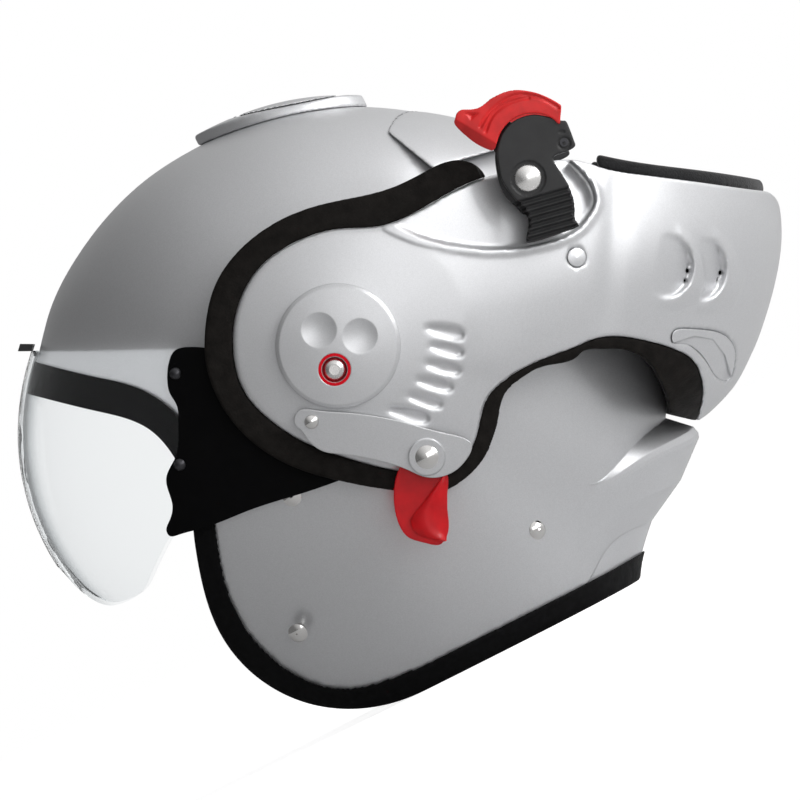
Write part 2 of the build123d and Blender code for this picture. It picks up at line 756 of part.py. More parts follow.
def make_chin_bar():
    """Painted chin bar with its two side plates."""
    rim = less(common(chin_body(recess_rim_rise), left_of(recess_outline(recess_rim_share), hub_radius)),
               chin_skin)
    outer = common(fused(chin_skin, *both(rim)), through(plate_outline()))
    ramp = tipped(chin_skin, at(recess_hinge_share, plate_reach), upright, recess_slope)
    hollow = less(left_of(recess_outline()), chin_body(-recess_depth), ramp)
    inner = chin_body(-chin_wall)
    floor = tipped(inner, at(recess_hinge_share, plate_reach), upright, recess_slope)
    under = less(left_of(recess_outline(recess_wall_share)), chin_body(-recess_depth - chin_wall), floor)
    outer = less(outer, *both(hollow))
    inner = less(inner, *both(under))
    bar = less(outer, inner)
    rind = less(chin_body(chin_wall), chin_body(-louvre_depth))
    cuts = []
    for start, end in louvre_shares:
        cuts.append(common(rind, left_of(leaf(at(start, plate_reach), at(end, plate_reach), louvre_width),
                                         hub_radius)))
    cuts.append(prism_circle(hub_radius + running_gap, 0, cut_span))
    cuts.append(plug_bar(plug_radius + seat_gap))
    for share in scoop_shares:
        cuts.append(less(scoop_bar(share, scoop_radius), scoop_tip(share, scoop_slope, scoop_start)))
        cuts.append(scoop_slot(share))
    pocket = through(closed_spline(widened([at(share, chin_reach) for share in winglet_shares], winglet_gap)))
    cuts.append(less(left_cut(pocket), chin_body(-winglet_depth)))
    return less(bar, *[part for cut in cuts for part in both(cut)])


def plug_plane():
    """Plane on the chin bar's side where the plug closes its service hole."""
    return seat(chin_skin, at(plug_share, plate_reach))


def plug_bar(radius):
    """Round bar through the side wall at the plug."""
    return plug_plane().location * Solid.make_cylinder(radius, 2 * chin_wall, Plane((0, 0, -chin_wall)))


def make_plug():
    """Cap that closes the service hole of one side."""
    shank = plug_plane().location * Solid.make_cylinder(plug_radius, chin_wall, Plane((0, 0, -chin_wall)))
    return fused(button(plug_plane(), plug_radius, plug_height), shank)


def scoop_plane(share):
    """Plane on the chin's left side at the middle of a scoop."""
    return seat(chin_skin, at(share, chin_reach))


def scoop_bar(share, radius):
    """Round bar square to the chin's side at a scoop."""
    return scoop_plane(share).location * Solid.make_cylinder(radius, 2 * radius, Plane((0, 0, -radius)))


def scoop_tip(share, degrees, start):
    """Chin's body turned in from a distance before a scoop's middle, or turned out with a negative angle."""
    middle = at(share, chin_reach)
    front = (middle[0] - start * scoop_lean[1], middle[1] + start * scoop_lean[0])
    return tipped(chin_skin, front, scoop_lean, degrees)


def scoop_slot(share):
    """Vent slot: the part of a scoop's round behind a chord."""
    plane = scoop_plane(share)
    across = Vector(scoop_lean[1], 0, -scoop_lean[0])
    across = (across - plane.z_dir * across.dot(plane.z_dir)).normalized()
    far = Plane(origin=plane.origin + across * (scoop_radius - slot_sagitta), x_dir=plane.z_dir, z_dir=across)
    half = 2 * scoop_radius
    block = far.location * Solid.make_box(half * 2, half * 2, half, Plane((-half, -half, 0)))
    return common(scoop_bar(share, scoop_radius - seat_gap), block)


def make_hoods():
    """Raised hoods behind the chin's scoops of one side, fading out at their ends."""
    hoods = []
    foot = 2 * hood_rise
    for share in scoop_shares:
        cone = scoop_plane(share).location * Solid.make_cone(
            scoop_radius + hood_width * (foot + hood_rise) / hood_rise, scoop_radius, foot + hood_rise,
            Plane((0, 0, -foot - scoop_drop)))
        lip = common(cone, scoop_tip(share, -hood_slope, 0))
        hoods.append(largest(less(lip, chin_body(seat_gap), scoop_bar(share, scoop_radius))))
    return hoods


def make_vent_mesh():
    """Dark mesh behind the chin vents of one side."""
    wall = less(chin_body(-chin_wall - seat_gap), chin_body(-chin_wall - seat_gap - mesh_thick))
    first, second = [at(share, chin_reach) for share in scoop_shares]
    back = (second[0] + scoop_radius * scoop_lean[1], second[1] - scoop_radius * scoop_lean[0])
    corners = []
    for point, reach in ((first, mesh_rise), (back, mesh_rise), (back, -mesh_rise), (first, -mesh_rise)):
        corners.append((point[0] + scoop_lean[0] * reach, point[1] + scoop_lean[1] * reach))
    return common(wall, left_of(polygon(corners), hub_radius))


def left_cut(body):
    """The part of a body on the wearer's left."""
    return common(body, Solid.make_box(2 * cut_span, cut_span, 2 * cut_span,
                                       Plane((-cut_span, -cut_span, -cut_span))))


def widened(points, gap):
    """Closed outline's points moved out from its middle by a gap."""
    middle = (sum(point[0] for point in points) / len(points),
              sum(point[1] for point in points) / len(points))
    moved = []
    for point in points:
        away = Vector(point[0] - middle[0], 0, point[1] - middle[1])
        away = away + away.normalized() * gap
        moved.append((middle[0] + away.X, middle[1] + away.Z))
    return moved


def make_winglet():
    """Panel let into one side of the chin, with a sloping facet along its lower front edge."""
    wall = less(chin_body(winglet_proud), chin_body(-winglet_depth + seat_gap))
    points = [at(share, chin_reach) for share in winglet_shares]
    panel = common(wall, left_of(closed_spline(points), hub_radius))
    corners = [at(share, chin_reach) for share in winglet_facet_shares]
    crease = (corners[3][0] - corners[1][0], corners[3][1] - corners[1][1])
    tip = tipped(chin_skin, corners[2], crease, winglet_slope)
    facet = less(left_of(polygon(corners), hub_radius), tip)
    return largest(less(panel, facet))


def make_chin_liner():
    """Foam inside the chin bar, hollowed so that it passes over shell and visor."""
    body = common(chin_body(-chin_wall - seat_gap - mesh_thick - seat_gap), through(plate_outline()))
    body = less(body, turned_body(sweep_radius, sweep_half_width, sweep_power),
                through(curtain_band(seat_gap)))
    for part in both(left_of(recess_outline(liner_gap_share))):
        body = less(body, part)
    front = Solid.make_box(cut_span, 2 * cut_span, cut_span,
                           Plane((liner_start_share * chin_reach, -cut_span, -cut_span / 2)))
    return common(body, front)


def make_gasket():
    """Rubber gasket round the painted plate and along the eye-port edge."""
    body = less(chin_body(-gasket_set), turned_body(lip_radius, lip_half_width, lip_power))
    band = less(through(gasket_outline()), through(plate_outline()))
    return less(common(body, band), *both(latch_room()))


def latch_room():
    """Round space on the wearer's left for the latch's disc once the latch is turned."""
    pivot = at(latch_pivot_share, plate_reach)
    centre = at(latch_centre_share, plate_reach)
    arm = math.hypot(centre[0] - pivot[0], centre[1] - pivot[1])
    start = math.degrees(math.atan2(centre[1] - pivot[1], centre[0] - pivot[0]))
    away = turn_point(arm, start + latch_turn)
    return prism_circle(latch_disc_radius + body_gap, latch_inner - body_gap, cut_span,
                        (pivot[0] + away[0], pivot[1] + away[1]))


def make_curtain():
    """Soft strip along the chin's lower edge, which points up while the bar is turned back."""
    wall = less(chin_body(-chin_wall), chin_body(-chin_wall - curtain_thick))
    return common(wall, through(curtain_band()))


def curtain_band(gap=0.0):
    """Side view of the strip along the chin's lower edge, or of the room that it needs."""
    foot = [at(share, chin_reach) for share in curtain_shares]
    line = [(point[0] - gap * curtain_lean_share, point[1] - gap) for point in foot]
    raised = [(point[0] + curtain_rise * curtain_lean_share, point[1] + curtain_rise) for point in foot]
    return Wire([run(line), run([line[-1], raised[-1]]), run(raised), run([raised[0], line[0]])])


def make_cover():
    """Round cover over the end of the hinge, with two finger dimples and a screw seat."""
    inner = chin_half_width - flat_depth + seat_gap
    disc = prism_circle(cover_radius, inner, inner + cover_height)
    rims = disc.edges().filter_by(GeomType.CIRCLE).sort_by(Axis.Y)
    disc = joined(disc.chamfer(cover_edge, cover_edge * 2, [rims[0]]))
    ball = (dimple_radius ** 2 + dimple_depth ** 2) / (2 * dimple_depth)
    top = inner + cover_height
    for share in dimple_shares:
        centre = at(share, cover_radius)
        sphere = Solid.make_sphere(ball, Plane((centre[0], -(top + ball - dimple_depth), centre[1])),
                                   -90, 90, 360)
        disc = less(disc, sphere)
    return less(disc, prism_circle(screw_ring_radius + running_gap, inner + screw_floor, cut_span,
                                   screw_place()))


def screw_place():
    """Side-view place of the cover's screw."""
    return at(screw_share, cover_radius)


def make_screw_ring():
    """Coloured ring round the cover's screw."""
    inner = chin_half_width - flat_depth + seat_gap + screw_floor
    outer = inner + cover_height - screw_floor
    ring = prism_circle(screw_ring_radius, inner, outer, screw_place())
    return less(ring, prism_circle(screw_ring_radius - screw_ring_wall, 0, cut_span, screw_place()))


def make_screw():
    """Button head screw with a socket."""
    inner = chin_half_width - flat_depth + seat_gap + screw_floor
    centre = screw_place()
    plane = Plane(origin=(centre[0], -inner, centre[1]), x_dir=(1, 0, 0), z_dir=(0, -1, 0))
    head = button(plane, screw_head_radius, cover_height)
    return less(head, prism_circle(screw_socket_radius, inner + cover_height - screw_socket_depth, cut_span,
                                   centre))


def lever_base():
    """Distance from the middle to the side lever's inner face."""
    return chin_half_width + seat_gap


def make_side_lever():
    """Flat lever under the hinge cover, with a boss at its free end."""
    base = lever_base()
    plate = prism(closed_spline([at(share, plate_reach) for share in lever_shares]), -base - lever_thick,
                  -base)
    boss = prism_circle(lever_boss_radius, base + lever_thick, base + lever_thick + lever_boss_height,
                        at(lever_stud_share, plate_reach))
    lever = fused(plate, boss)
    pin = prism_circle(lever_rivet_radius * rivet_pin_share + running_gap, 0, cut_span,
                       at(lever_pivot_share, plate_reach))
    return less(lever, pin)


def make_lever_rivet():
    """Rivet that the side lever turns on."""
    centre = at(lever_pivot_share, plate_reach)
    base = lever_base()
    foot = chin_half_width - flat_depth + seat_gap
    plane = Plane(origin=(centre[0], -(base + lever_thick + running_gap), centre[1]), x_dir=(1, 0, 0),
                  z_dir=(0, -1, 0))
    head = button(plane, lever_rivet_radius, rivet_height)
    pin = prism_circle(lever_rivet_radius * rivet_pin_share, foot, base + lever_thick + running_gap, centre)
    return fused(head, pin)


def make_lever_stud():
    """Large rivet at the free end of the side lever."""
    centre = at(lever_stud_share, plate_reach)
    base = lever_base() + lever_thick + lever_boss_height
    plane = Plane(origin=(centre[0], -base, centre[1]), x_dir=(1, 0, 0), z_dir=(0, -1, 0))
    return button(plane, lever_stud_radius, rivet_height)


def make_ribbon():
    """Pull ribbon that hangs from the side lever."""
    base = lever_base() - seat_gap
    return prism(closed_spline([at(share, plate_reach) for share in ribbon_shares]), -base,
                 -base + ribbon_thick)


def polygon(points):
    """Straight-sided closed outline."""
    return Wire([run([points[n], points[(n + 1) % len(points)]]) for n in range(len(points))])


def make_latch():
    """Latch body: a disc with a nose and a ribbed grip."""
    outer = latch_inner + latch_thick
    centre = at(latch_centre_share, plate_reach)
    disc = prism_circle(latch_disc_radius, latch_inner, outer, centre)
    nose = prism(polygon([at(share, plate_reach) for share in latch_nose_shares]), -outer, -latch_inner)
    grip = prism(polygon([at(share, plate_reach) for share in latch_grip_shares]), -outer, -latch_inner)
    body = fused(disc, nose, grip)
    pin = prism_circle(latch_pin_radius, 0, cut_span, at(latch_pin_share, plate_reach))
    pivot = at(latch_pivot_share, plate_reach)
    shank = prism_circle(latch_shank_radius + running_gap, 0, cut_span, pivot)
    ring = prism_circle(latch_dome_radius + latch_ring_gap, outer - latch_ring_depth, cut_span, pivot)
    return less(body, release_slot(), pin, shank, ring, *grip_grooves(outer))


def grip_grooves(outer):
    """Bars that cut the ribs into the latch's grip, square to the line along which they follow each other."""
    start = side(at(grip_start_share, plate_reach), -outer)
    end = side(at(grip_end_share, plate_reach), -outer)
    along = (end - start).normalized()
    across = Vector(-along.Z, 0, along.X)
    length = 4 * latch_disc_radius
    grooves = []
    for number in range(grip_ribs):
        middle = start + (end - start) * ((number + 0.5) / grip_ribs)
        plane = Plane(origin=middle, x_dir=across, z_dir=along)
        grooves.append(plane.location * Solid.make_box(
            length, 2 * grip_rib_depth, grip_rib_width,
            Plane((-length / 2, -grip_rib_depth, -grip_rib_width / 2))))
    return grooves


def make_claw():
    """Claw on the latch's inner face, which hooks the shell's stud."""
    return prism(polygon([at(share, plate_reach) for share in claw_shares]), -latch_inner,
                 -latch_inner + claw_depth)


def release_slot():
    """Slot in the latch's nose for the tongue of the release lever."""
    middle = latch_inner + latch_thick / 2
    half = release_fork / 2 + running_gap
    return prism(polygon([at(share, plate_reach) for share in slot_shares]), -middle - half, -middle + half)


def make_latch_dome():
    """Polished rivet that the latch turns on."""
    centre = at(latch_pivot_share, plate_reach)
    top = latch_inner + latch_thick - latch_ring_depth + running_gap
    plane = Plane(origin=(centre[0], -top, centre[1]), x_dir=(1, 0, 0), z_dir=(0, -1, 0))
    floor = latch_inner - latch_lift
    return fused(button(plane, latch_dome_radius, latch_dome_height),
                 prism_circle(latch_shank_radius, floor, top, centre))


def make_release():
    """Coloured release lever that wraps the latch's disc and turns on a pin in its nose."""
    outer = latch_inner + release_thick
    centre = at(latch_centre_share, plate_reach)
    inner_points = [at(share, plate_reach) for share in release_inner_shares]
    outer_points = [at(share, plate_reach) for share in release_outer_shares]
    ring = Wire([run(outer_points), run([outer_points[-1], inner_points[0]]),
                 run([inner_points[0], inner_points[1]]), run([inner_points[1], inner_points[2]]),
                 run([inner_points[2], outer_points[0]])])
    body = prism(ring, -outer, -latch_inner - release_step)
    body = less(body, prism_circle(latch_disc_radius + body_gap, 0, cut_span, centre))
    nose = [middle_out(at(share, plate_reach), at(latch_pin_share, plate_reach))
            for share in latch_nose_shares]
    body = less(body, through(polygon(nose)))
    middle = latch_inner + latch_thick / 2
    half = release_fork / 2
    tongue = prism(polygon([at(share, plate_reach) for share in tongue_shares]), -middle - half,
                   -middle + half)
    bore = prism_circle(latch_pin_radius + running_gap, 0, cut_span, at(latch_pin_share, plate_reach))
    body = less(fused(largest(body), tongue), bore)
    for radius in release_groove_radii:
        ring = less(prism_circle(radius + release_groove / 2, 0, cut_span, centre),
                    prism_circle(radius - release_groove / 2, 0, cut_span, centre))
        start, end = release_groove_angles
        sector = [centre] + [(centre[0] + point[0], centre[1] + point[1])
                             for point in (turn_point(3 * radius, start + (end - start) * n / 4)
                                           for n in range(5))]
        band = common(ring, prism(polygon(sector), -cut_span, -outer + release_groove_depth))
        body = less(body, band)
    hollow = prism(polygon([at(share, plate_reach) for share in release_hollow_shares]), -cut_span,
                   -outer + release_groove_depth)
    edge = run(outer_points)
    notches = []
    for number in range(release_notches):
        start, end = release_notch_span
        tip = edge.position_at(start + (end - start) * number / (release_notches - 1))
        notches.append(prism_circle(release_notch_radius, 0, cut_span, (tip.X, tip.Z)))
    return less(body, hollow, *notches)


def largest(shape):
    """The largest solid of a result."""
    return max(shape.solids(), key=lambda solid: solid.volume)


def middle_out(point, centre):
    """Point moved away from a centre by the clearance between two bodies."""
    away = Vector(point[0] - centre[0], 0, point[1] - centre[1])
    moved = away + away.normalized() * body_gap
    return (centre[0] + moved.X, centre[1] + moved.Z)


def make_latch_pin():
    """Pin that holds the release lever in the latch's nose."""
    return prism_circle(latch_pin_radius, latch_inner, latch_inner + latch_thick,
                        at(latch_pin_share, plate_reach))


def strap_line(away):
    """Line of the left strap half in the plane across the helmet, moved inwards by a distance."""
    return [Vector(0, -(width * shell_half_width - away),
                   level * rim_depth + away * (level < strap_turn_share))
            for width, level in strap_shares]


def strap_half():
    """Left half of the chin strap, from its anchor inside the cheek to the loop round the rings."""
    outer = strap_line(0.0)
    inner = strap_line(strap_thick)
    end = ring_half_depth
    outer.append(Vector(0, -end, outer[-1].Z))
    inner.append(Vector(0, -end, inner[-1].Z))
    edges = [Edge.make_spline(outer), Edge.make_line(outer[-1], inner[-1]), Edge.make_spline(inner[::-1]),
             Edge.make_line(inner[0], outer[0])]
    band = strap_width / 2
    face = Face(Wire(edges)).moved(Location((strap_forward - band, 0, 0)))
    return Solid.extrude(face, Vector(strap_width, 0, 0))


def ring_levels():
    """Heights of the two rings' wires."""
    low = strap_shares[-1][1] * rim_depth + strap_thick + seat_gap + loop_radius
    return low, low + 2 * loop_radius + seat_gap


def loop_body(radius):
    """Flat tube round the left bars of both rings."""
    low, high = ring_levels()
    bars = []
    for level in (low, high):
        plane = Plane(origin=(strap_forward - strap_width / 2, -ring_half_depth, level), x_dir=(0, 1, 0),
                      z_dir=(1, 0, 0))
        bars.append(Solid.make_cylinder(radius, strap_width, plane))
    block = Solid.make_box(strap_width, 2 * radius, high - low,
                           Plane((strap_forward - strap_width / 2, -ring_half_depth - radius, low)))
    return fused(bars[0], bars[1], block)


def make_strap():
    """Strap half with its loop."""
    return less(fused(strap_half(), loop_body(loop_radius + seat_gap + strap_thick)),
                loop_body(loop_radius + seat_gap))


def make_rings():
    """Two steel rings that join the strap halves."""
    rings = []
    for level in ring_levels():
        plane = Plane((strap_forward, 0, level - ring_bar / 2))
        frame = (plane * RectangleRounded(2 * ring_half_width + ring_bar, 2 * ring_half_depth + ring_bar,
                                          ring_corner)
                 - plane * RectangleRounded(2 * ring_half_width - ring_bar, 2 * ring_half_depth - ring_bar,
                                            ring_corner / 2))
        rings.append(extrude(frame, ring_bar))
    return rings


pieces = {}


def add(name, shape):
    """Keep the solids of a node, without specks."""
    solids = []
    for item in shape if isinstance(shape, (list, tuple)) else [shape]:
        solids.extend(item.solids())
    most = max(solid.volume for solid in solids)
    pieces[name] = [solid for solid in solids if solid.volume > most * speck_share]


def add_pair(name, shape):
    """Keep a left node and its mirror image."""
    items = list(shape) if isinstance(shape, (list, tuple)) else [shape]
    add(name + "_left", items)
    add(name + "_right", [item.mirror(Plane.XZ) for item in items])


def shell_rivets():
    """Rivets of the chin strap, two on each side of the shell."""
    heads = [button(seat(outer_shell, at(share, rim_depth)), rivet_radius, rivet_height)
             for share in strap_rivet_shares]
    return heads


def make_stud():
    """Latch stud on a neck, on the left of the shell."""
    plane = seat(outer_shell, at(stud_share, rim_depth))
    neck = plane.location * Solid.make_cylinder(stud_neck_radius, stud_neck)
    return fused(neck, button(plane, stud_radius, rivet_height, rise=stud_neck))


add("shell", make_shell())
brow_trim, rim_trim = make_trim()
add("brow_trim", brow_trim)
add("rim_trim", rim_trim)
add("eps_liner", make_foam())
vent_base, vent_slider = make_crown_vent()
add("crown_vent_base", vent_base)
add("crown_vent_slider", vent_slider)
add("crown_outlet", make_wedge())
add("crown_lining", make_lining())
cheeks = make_cheek_pads()
add("cheek_pad_left", cheeks[0])
add("cheek_pad_right", cheeks[1])
add("neck_roll", make_neck_roll())
add("strap_rivets", [part for head in shell_rivets() for part in both(head)])
add("latch_studs", both(make_stud()))
add_pair("chin_strap", make_strap())
add("strap_rings", make_rings())
add_pair("hinge_hub", make_hub())
add("visor_lens", make_lens())
add("visor_tab", make_tab())
bracket = make_bracket()
add_pair("visor_bracket", bracket)
add("visor_rivets", [part for share in bracket_rivet_shares
                     for part in both(button(seat(bracket, at(share, plate_reach)), small_rivet_radius,
                                             rivet_height))])
bar = make_chin_bar()
add("chin_bar", bar)
add_pair("side_plug", make_plug())
add_pair("chin_vent_hoods", make_hoods())
add_pair("chin_vent_mesh", make_vent_mesh())
add_pair("winglet", make_winglet())
add("chin_bar_liner", make_chin_liner())
add("visor_gasket", make_gasket())
add("chin_curtain", make_curtain())
add_pair("hinge_cover", make_cover())
add_pair("cover_screw_ring", make_screw_ring())
add_pair("cover_screw", make_screw())
add_pair("side_lever", make_side_lever())
add_pair("lever_rivet", make_lever_rivet())
add_pair("lever_stud", make_lever_stud())
add_pair("pull_ribbon", make_ribbon())
add_pair("latch", make_latch())
add_pair("latch_claw", make_claw())
add_pair("latch_dome", make_latch_dome())
add_pair("release_lever", make_release())
add_pair("release_pin", make_latch_pin())

os.makedirs("parts", exist_ok=True)
place = Location((-hinge_forward, 0, rim_depth))
for name, solids in pieces.items():
    export_step(Compound([solid.moved(place) for solid in solids]), f"parts/{name}.step")
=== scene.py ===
import bpy
import bmesh
import json
import math
from mathutils import Matrix, Vector
from mathutils.bvhtree import BVHTree


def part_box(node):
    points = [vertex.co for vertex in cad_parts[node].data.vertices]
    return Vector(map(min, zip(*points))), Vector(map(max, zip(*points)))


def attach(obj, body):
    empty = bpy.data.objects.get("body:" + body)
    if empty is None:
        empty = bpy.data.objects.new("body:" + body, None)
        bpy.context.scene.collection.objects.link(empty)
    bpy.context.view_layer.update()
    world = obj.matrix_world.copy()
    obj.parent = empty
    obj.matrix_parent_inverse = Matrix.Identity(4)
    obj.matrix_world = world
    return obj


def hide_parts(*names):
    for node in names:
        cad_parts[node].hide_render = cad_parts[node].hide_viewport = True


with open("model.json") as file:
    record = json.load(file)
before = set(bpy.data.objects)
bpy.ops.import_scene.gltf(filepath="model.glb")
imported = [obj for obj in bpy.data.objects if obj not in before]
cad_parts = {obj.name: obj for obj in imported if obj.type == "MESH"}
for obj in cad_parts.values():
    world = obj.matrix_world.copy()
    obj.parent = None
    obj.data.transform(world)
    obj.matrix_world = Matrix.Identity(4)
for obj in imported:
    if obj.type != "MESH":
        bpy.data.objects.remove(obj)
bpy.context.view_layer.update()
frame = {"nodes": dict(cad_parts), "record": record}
nodes = frame["nodes"]
metre = 1.0
mm = metre / 1000

# Camera of the photograph: level, square to the helmet's left side, rolled front-down
camera_tilt = math.radians(26.7)
camera_distance = 7.0 * metre
camera_reach = 100 * metre
camera_aim = Vector((-9.7, 0, 120.3)) * mm
frame_width = 360 * mm
frame_pixels = 800
sensor_width = 36.0
photo_right = Vector((math.cos(camera_tilt), 0, -math.sin(camera_tilt)))
photo_up = Vector((math.sin(camera_tilt), 0, math.cos(camera_tilt)))

# Colours, linear
silver = (0.60, 0.605, 0.62)
rubber_black = (0.0035, 0.0035, 0.0038)
plastic_black = (0.0025, 0.0025, 0.0028)
fabric_black = (0.009, 0.009, 0.01)
foam_black = (0.012, 0.012, 0.013)
gasket_black = (0.010, 0.0088, 0.0080)
latch_black = (0.03, 0.03, 0.031)
thread_grey = (0.05, 0.05, 0.055)
lever_red = (0.80, 0.022, 0.022)
ring_red = (0.6, 0.01, 0.02)
ribbon_red = (0.9, 0.01, 0.02)
steel = (0.66, 0.65, 0.64)
pale_steel = (0.9, 0.89, 0.88)
deep_steel = (0.06, 0.06, 0.065)
floor_white = (0.9, 0.9, 0.9)
white = (1.0, 1.0, 1.0, 1.0)

# How the visor darkens where it is seen edge on
lens_fade = [(0.0, (0.94, 0.95, 0.953)), (0.6, (0.9, 0.91, 0.915)), (0.78, (0.62, 0.64, 0.65)),
             (0.92, (0.12, 0.12, 0.12)), (1.0, (0.01, 0.01, 0.01))]

# Finish of painted parts: radius that edges shine with, and how far the side panels crown
edge_radius = 0.9 * mm
hinge_centre = (-23.4 * mm, 0.0, 154 * mm)
crown_slope = 0.24
crown_radius = 35 * mm

# Soft pieces and mouldings
weld_distance = 0.002 * mm
pad_voxel = 3.2 * mm
crown_voxel = 2.2 * mm
curtain_voxel = 0.8 * mm
ribbon_voxel = 0.45 * mm
bar_voxel = 1.0 * mm
gasket_voxel = 0.9 * mm
rim_voxel = 1.0 * mm
soft_voxel = 0.7 * mm
soft_rounds = 6
puff_frames = 20
pad_pressure = 3.0
pad_swell = 2.5 * mm
seam_depth = 2.2 * mm
seam_width = 2.2 * mm
pad_seam_inset = 11 * mm
channel_depth = 1.6 * mm
channel_shares = (0.36, 0.68)
channel_lean = 0.12
neck_channels = 15
neck_depth = 62 * mm
crown_channels = 6
crown_seam_depth = 1.4 * mm
curtain_swell = 0.9 * mm
strap_edge = 0.45 * mm
stitch_start = 22 * mm
stitch_length = 16 * mm
stitch_box_share = 0.75
stitch_pitch = 2.4 * mm
stitch_radius = 0.35 * mm
stitch_half_length = 0.36 * stitch_pitch
stitch_search = 5 * mm

# Latch and release lever in pixels of one enlarged crop of the photograph, right and down.
# The latch's base and ledge and the arc of the release lever are set to fill the gap between the two.
disc_crop_centre = (810, 653)
disc_crop_radius = 314
latch_crop = [
    (500, 640), (504, 760), (532, 900), (590, 1000), (665, 1095), (735, 1165), (768, 1240), (775, 1310),
    (754, 1395), (775, 1460), (990, 1400), (1195, 1328), (1210, 1303), (1172, 1240), (1174, 1110),
    (1125, 965), (990, 750), (1004, 702), (1095, 668), (1176, 620), (1163, 560), (1130, 470),
    (1098, 402), (1052, 395),
    (960, 368), (810, 344), (655, 392), (548, 500),
]
latch_base_crop = [(487, 653), (480, 740), (509, 917), (565, 1045), (652, 1140), (742, 1210), (800, 1100),
                   (800, 640), (520, 647)]
latch_ledge_crop = [(593, 392), (537, 455), (496, 527), (477, 600), (477, 669), (637, 653), (637, 465)]
release_back_crop = [
    (135, 440), (133, 370), (150, 325), (190, 300), (260, 298), (320, 288), (380, 255), (440, 205),
    (500, 172),
    (560, 148), (620, 133), (700, 131), (780, 142), (860, 162), (960, 205), (1040, 252), (1056, 275),
    (1050, 355),
]
release_heel_crop = [(474, 644), (425, 650), (290, 580)]
hollow_crop = [(205, 328), (350, 326), (268, 404)]
outer_groove_crop = [(350, 450), (430, 330), (560, 220), (700, 172), (850, 192), (950, 236), (1030, 288)]
inner_groove_crop = [(395, 490), (450, 360), (560, 262), (700, 208), (770, 200)]
facet_crop = [(210, 430), (480, 595)]
rib_crop = [(665, 1095), (1125, 965), (775, 1460)]
dome_crop = (768, 900)
pin_crop = (1080, 595)
slot_crop = [(1046, 497), (1074, 493)]
release_arc_share = 1.022
release_arc_start = math.radians(44.6)
release_arc_end = math.radians(167.1)
release_arc_points = 10
disc_centre = Vector((92.5, 0, 192.6)) * mm
disc_radius = 15.93 * mm
latch_outer = 124.2 * mm
latch_inner = 112.3 * mm
latch_base_outer = 118.4 * mm
latch_ledge_inner = 117.4 * mm
release_outer = 125.2 * mm
release_inner = 118.9 * mm
small_voxel = 0.38 * mm
outline_steps = 6
rib_count = 7
rib_depth = 1.6 * mm
ring_share = 0.485
ring_depth = 0.9 * mm
pin_ring_share = 0.15
fine_depth = 0.5 * mm
fine_width = 0.55 * mm
groove_depth = 0.7 * mm
groove_width = 0.75 * mm
hollow_depth = 1.4 * mm
facet_slope = 0.9
hollow_edge_share = 0.04
serration_pitch = 2.1 * mm
serration_depth = 0.55 * mm
serration_right_share = -0.55
serration_low_share = 1.05
rib_facing = -0.5
rib_sharpness = 0.7
facet_least = 0.25

# Folded flap of the ribbon in pixels of the photograph, right and down
flap_fold_pixels = [(444, 475), (425, 500), (412, 517), (411, 525), (416, 533), (427, 538), (445, 541)]
flap_edge_pixels = [(446, 471), (447, 485), (447.5, 500), (447.5, 512), (447.5, 524), (447, 533),
                    (446.5, 541)]
flap_place = 122 * mm
flap_base = 122.7 * mm
flap_rise = 2.6 * mm
flap_lead_share = 0.08
flap_steps = 10
film_thick = 0.5 * mm

# Soft valley down the side of the chin bar, in front of the vents
valley_x = 106.3 * mm
valley_z = 140 * mm
valley_lean = 0.6
valley_width = 7 * mm
valley_half = 36 * mm
valley_depth = 1.5 * mm
valley_inner = 60 * mm

# Studio light: plain level for matt surfaces, and how the white room fades for reflections
room_light = 0.2
bright_side = Vector((0.9, -0.15, 0.3))
studio_fade = [(0.30, 0.20), (0.84, 1.05)]
floor_half = 6 * metre
floor_glow = 0.84
floor_mirrored_glow = 0.12
lamp_aim = Vector((0, 0, 130)) * mm
front_aim = Vector((100, 0, 100)) * mm
lamps = [
    ("key", Vector((2.2, -1.0, 0.8)) * metre, lamp_aim, (1.2 * metre, 1.2 * metre), 31),
    ("rear", Vector((2.2, 0.6, 1.4)) * metre, lamp_aim, (1.0 * metre, 1.6 * metre), 15),
    ("front", Vector((0.9, -2.0, 0.1)) * metre, front_aim, (1.8 * metre, 1.8 * metre), 14),
]


def set_sockets(shader, values):
    """Set sockets of a shader by name."""
    for name, value in values.items():
        socket = shader.inputs[name.replace("_", " ")]
        if isinstance(value, tuple) and len(value) == 3:
            value = value + (1.0,)
        socket.default_value = value


def material(name, **values):
    """Principled material with its constant values set on the shader's own sockets."""
    made = bpy.data.materials.new(name)
    made.use_nodes = True
    set_sockets(made.node_tree.nodes["Principled BSDF"], values)
    return made


def node_of(made, kind, **settings):
    """New shader node with properties and unlinked sockets set."""
    node = made.node_tree.nodes.new("ShaderNode" + kind)
    for name, value in settings.items():
        if name in node.inputs:
            node.inputs[name].default_value = value
        else:
            setattr(node, name, value)
    return node


def wire(made, source, target):
    made.node_tree.links.new(source, target)


def place(made):
    """Coordinates in the helmet's own frame, in metres."""
    return node_of(made, "TexCoord").outputs["Object"]


def noise(made, size, detail=2.0, roughness=0.5):
    """Noise whose features are about as large as size."""
    texture = node_of(made, "TexNoise", Scale=1 / size, Detail=detail, Roughness=roughness)
    wire(made, place(made), texture.inputs["Vector"])
    return texture.outputs["Fac"]


def cells(made, size, feature="F1"):
    """Cell pattern whose cells are about as large as size."""
    texture = node_of(made, "TexVoronoi", Scale=1 / size, feature=feature)
    wire(made, place(made), texture.inputs["Vector"])
    return texture.outputs


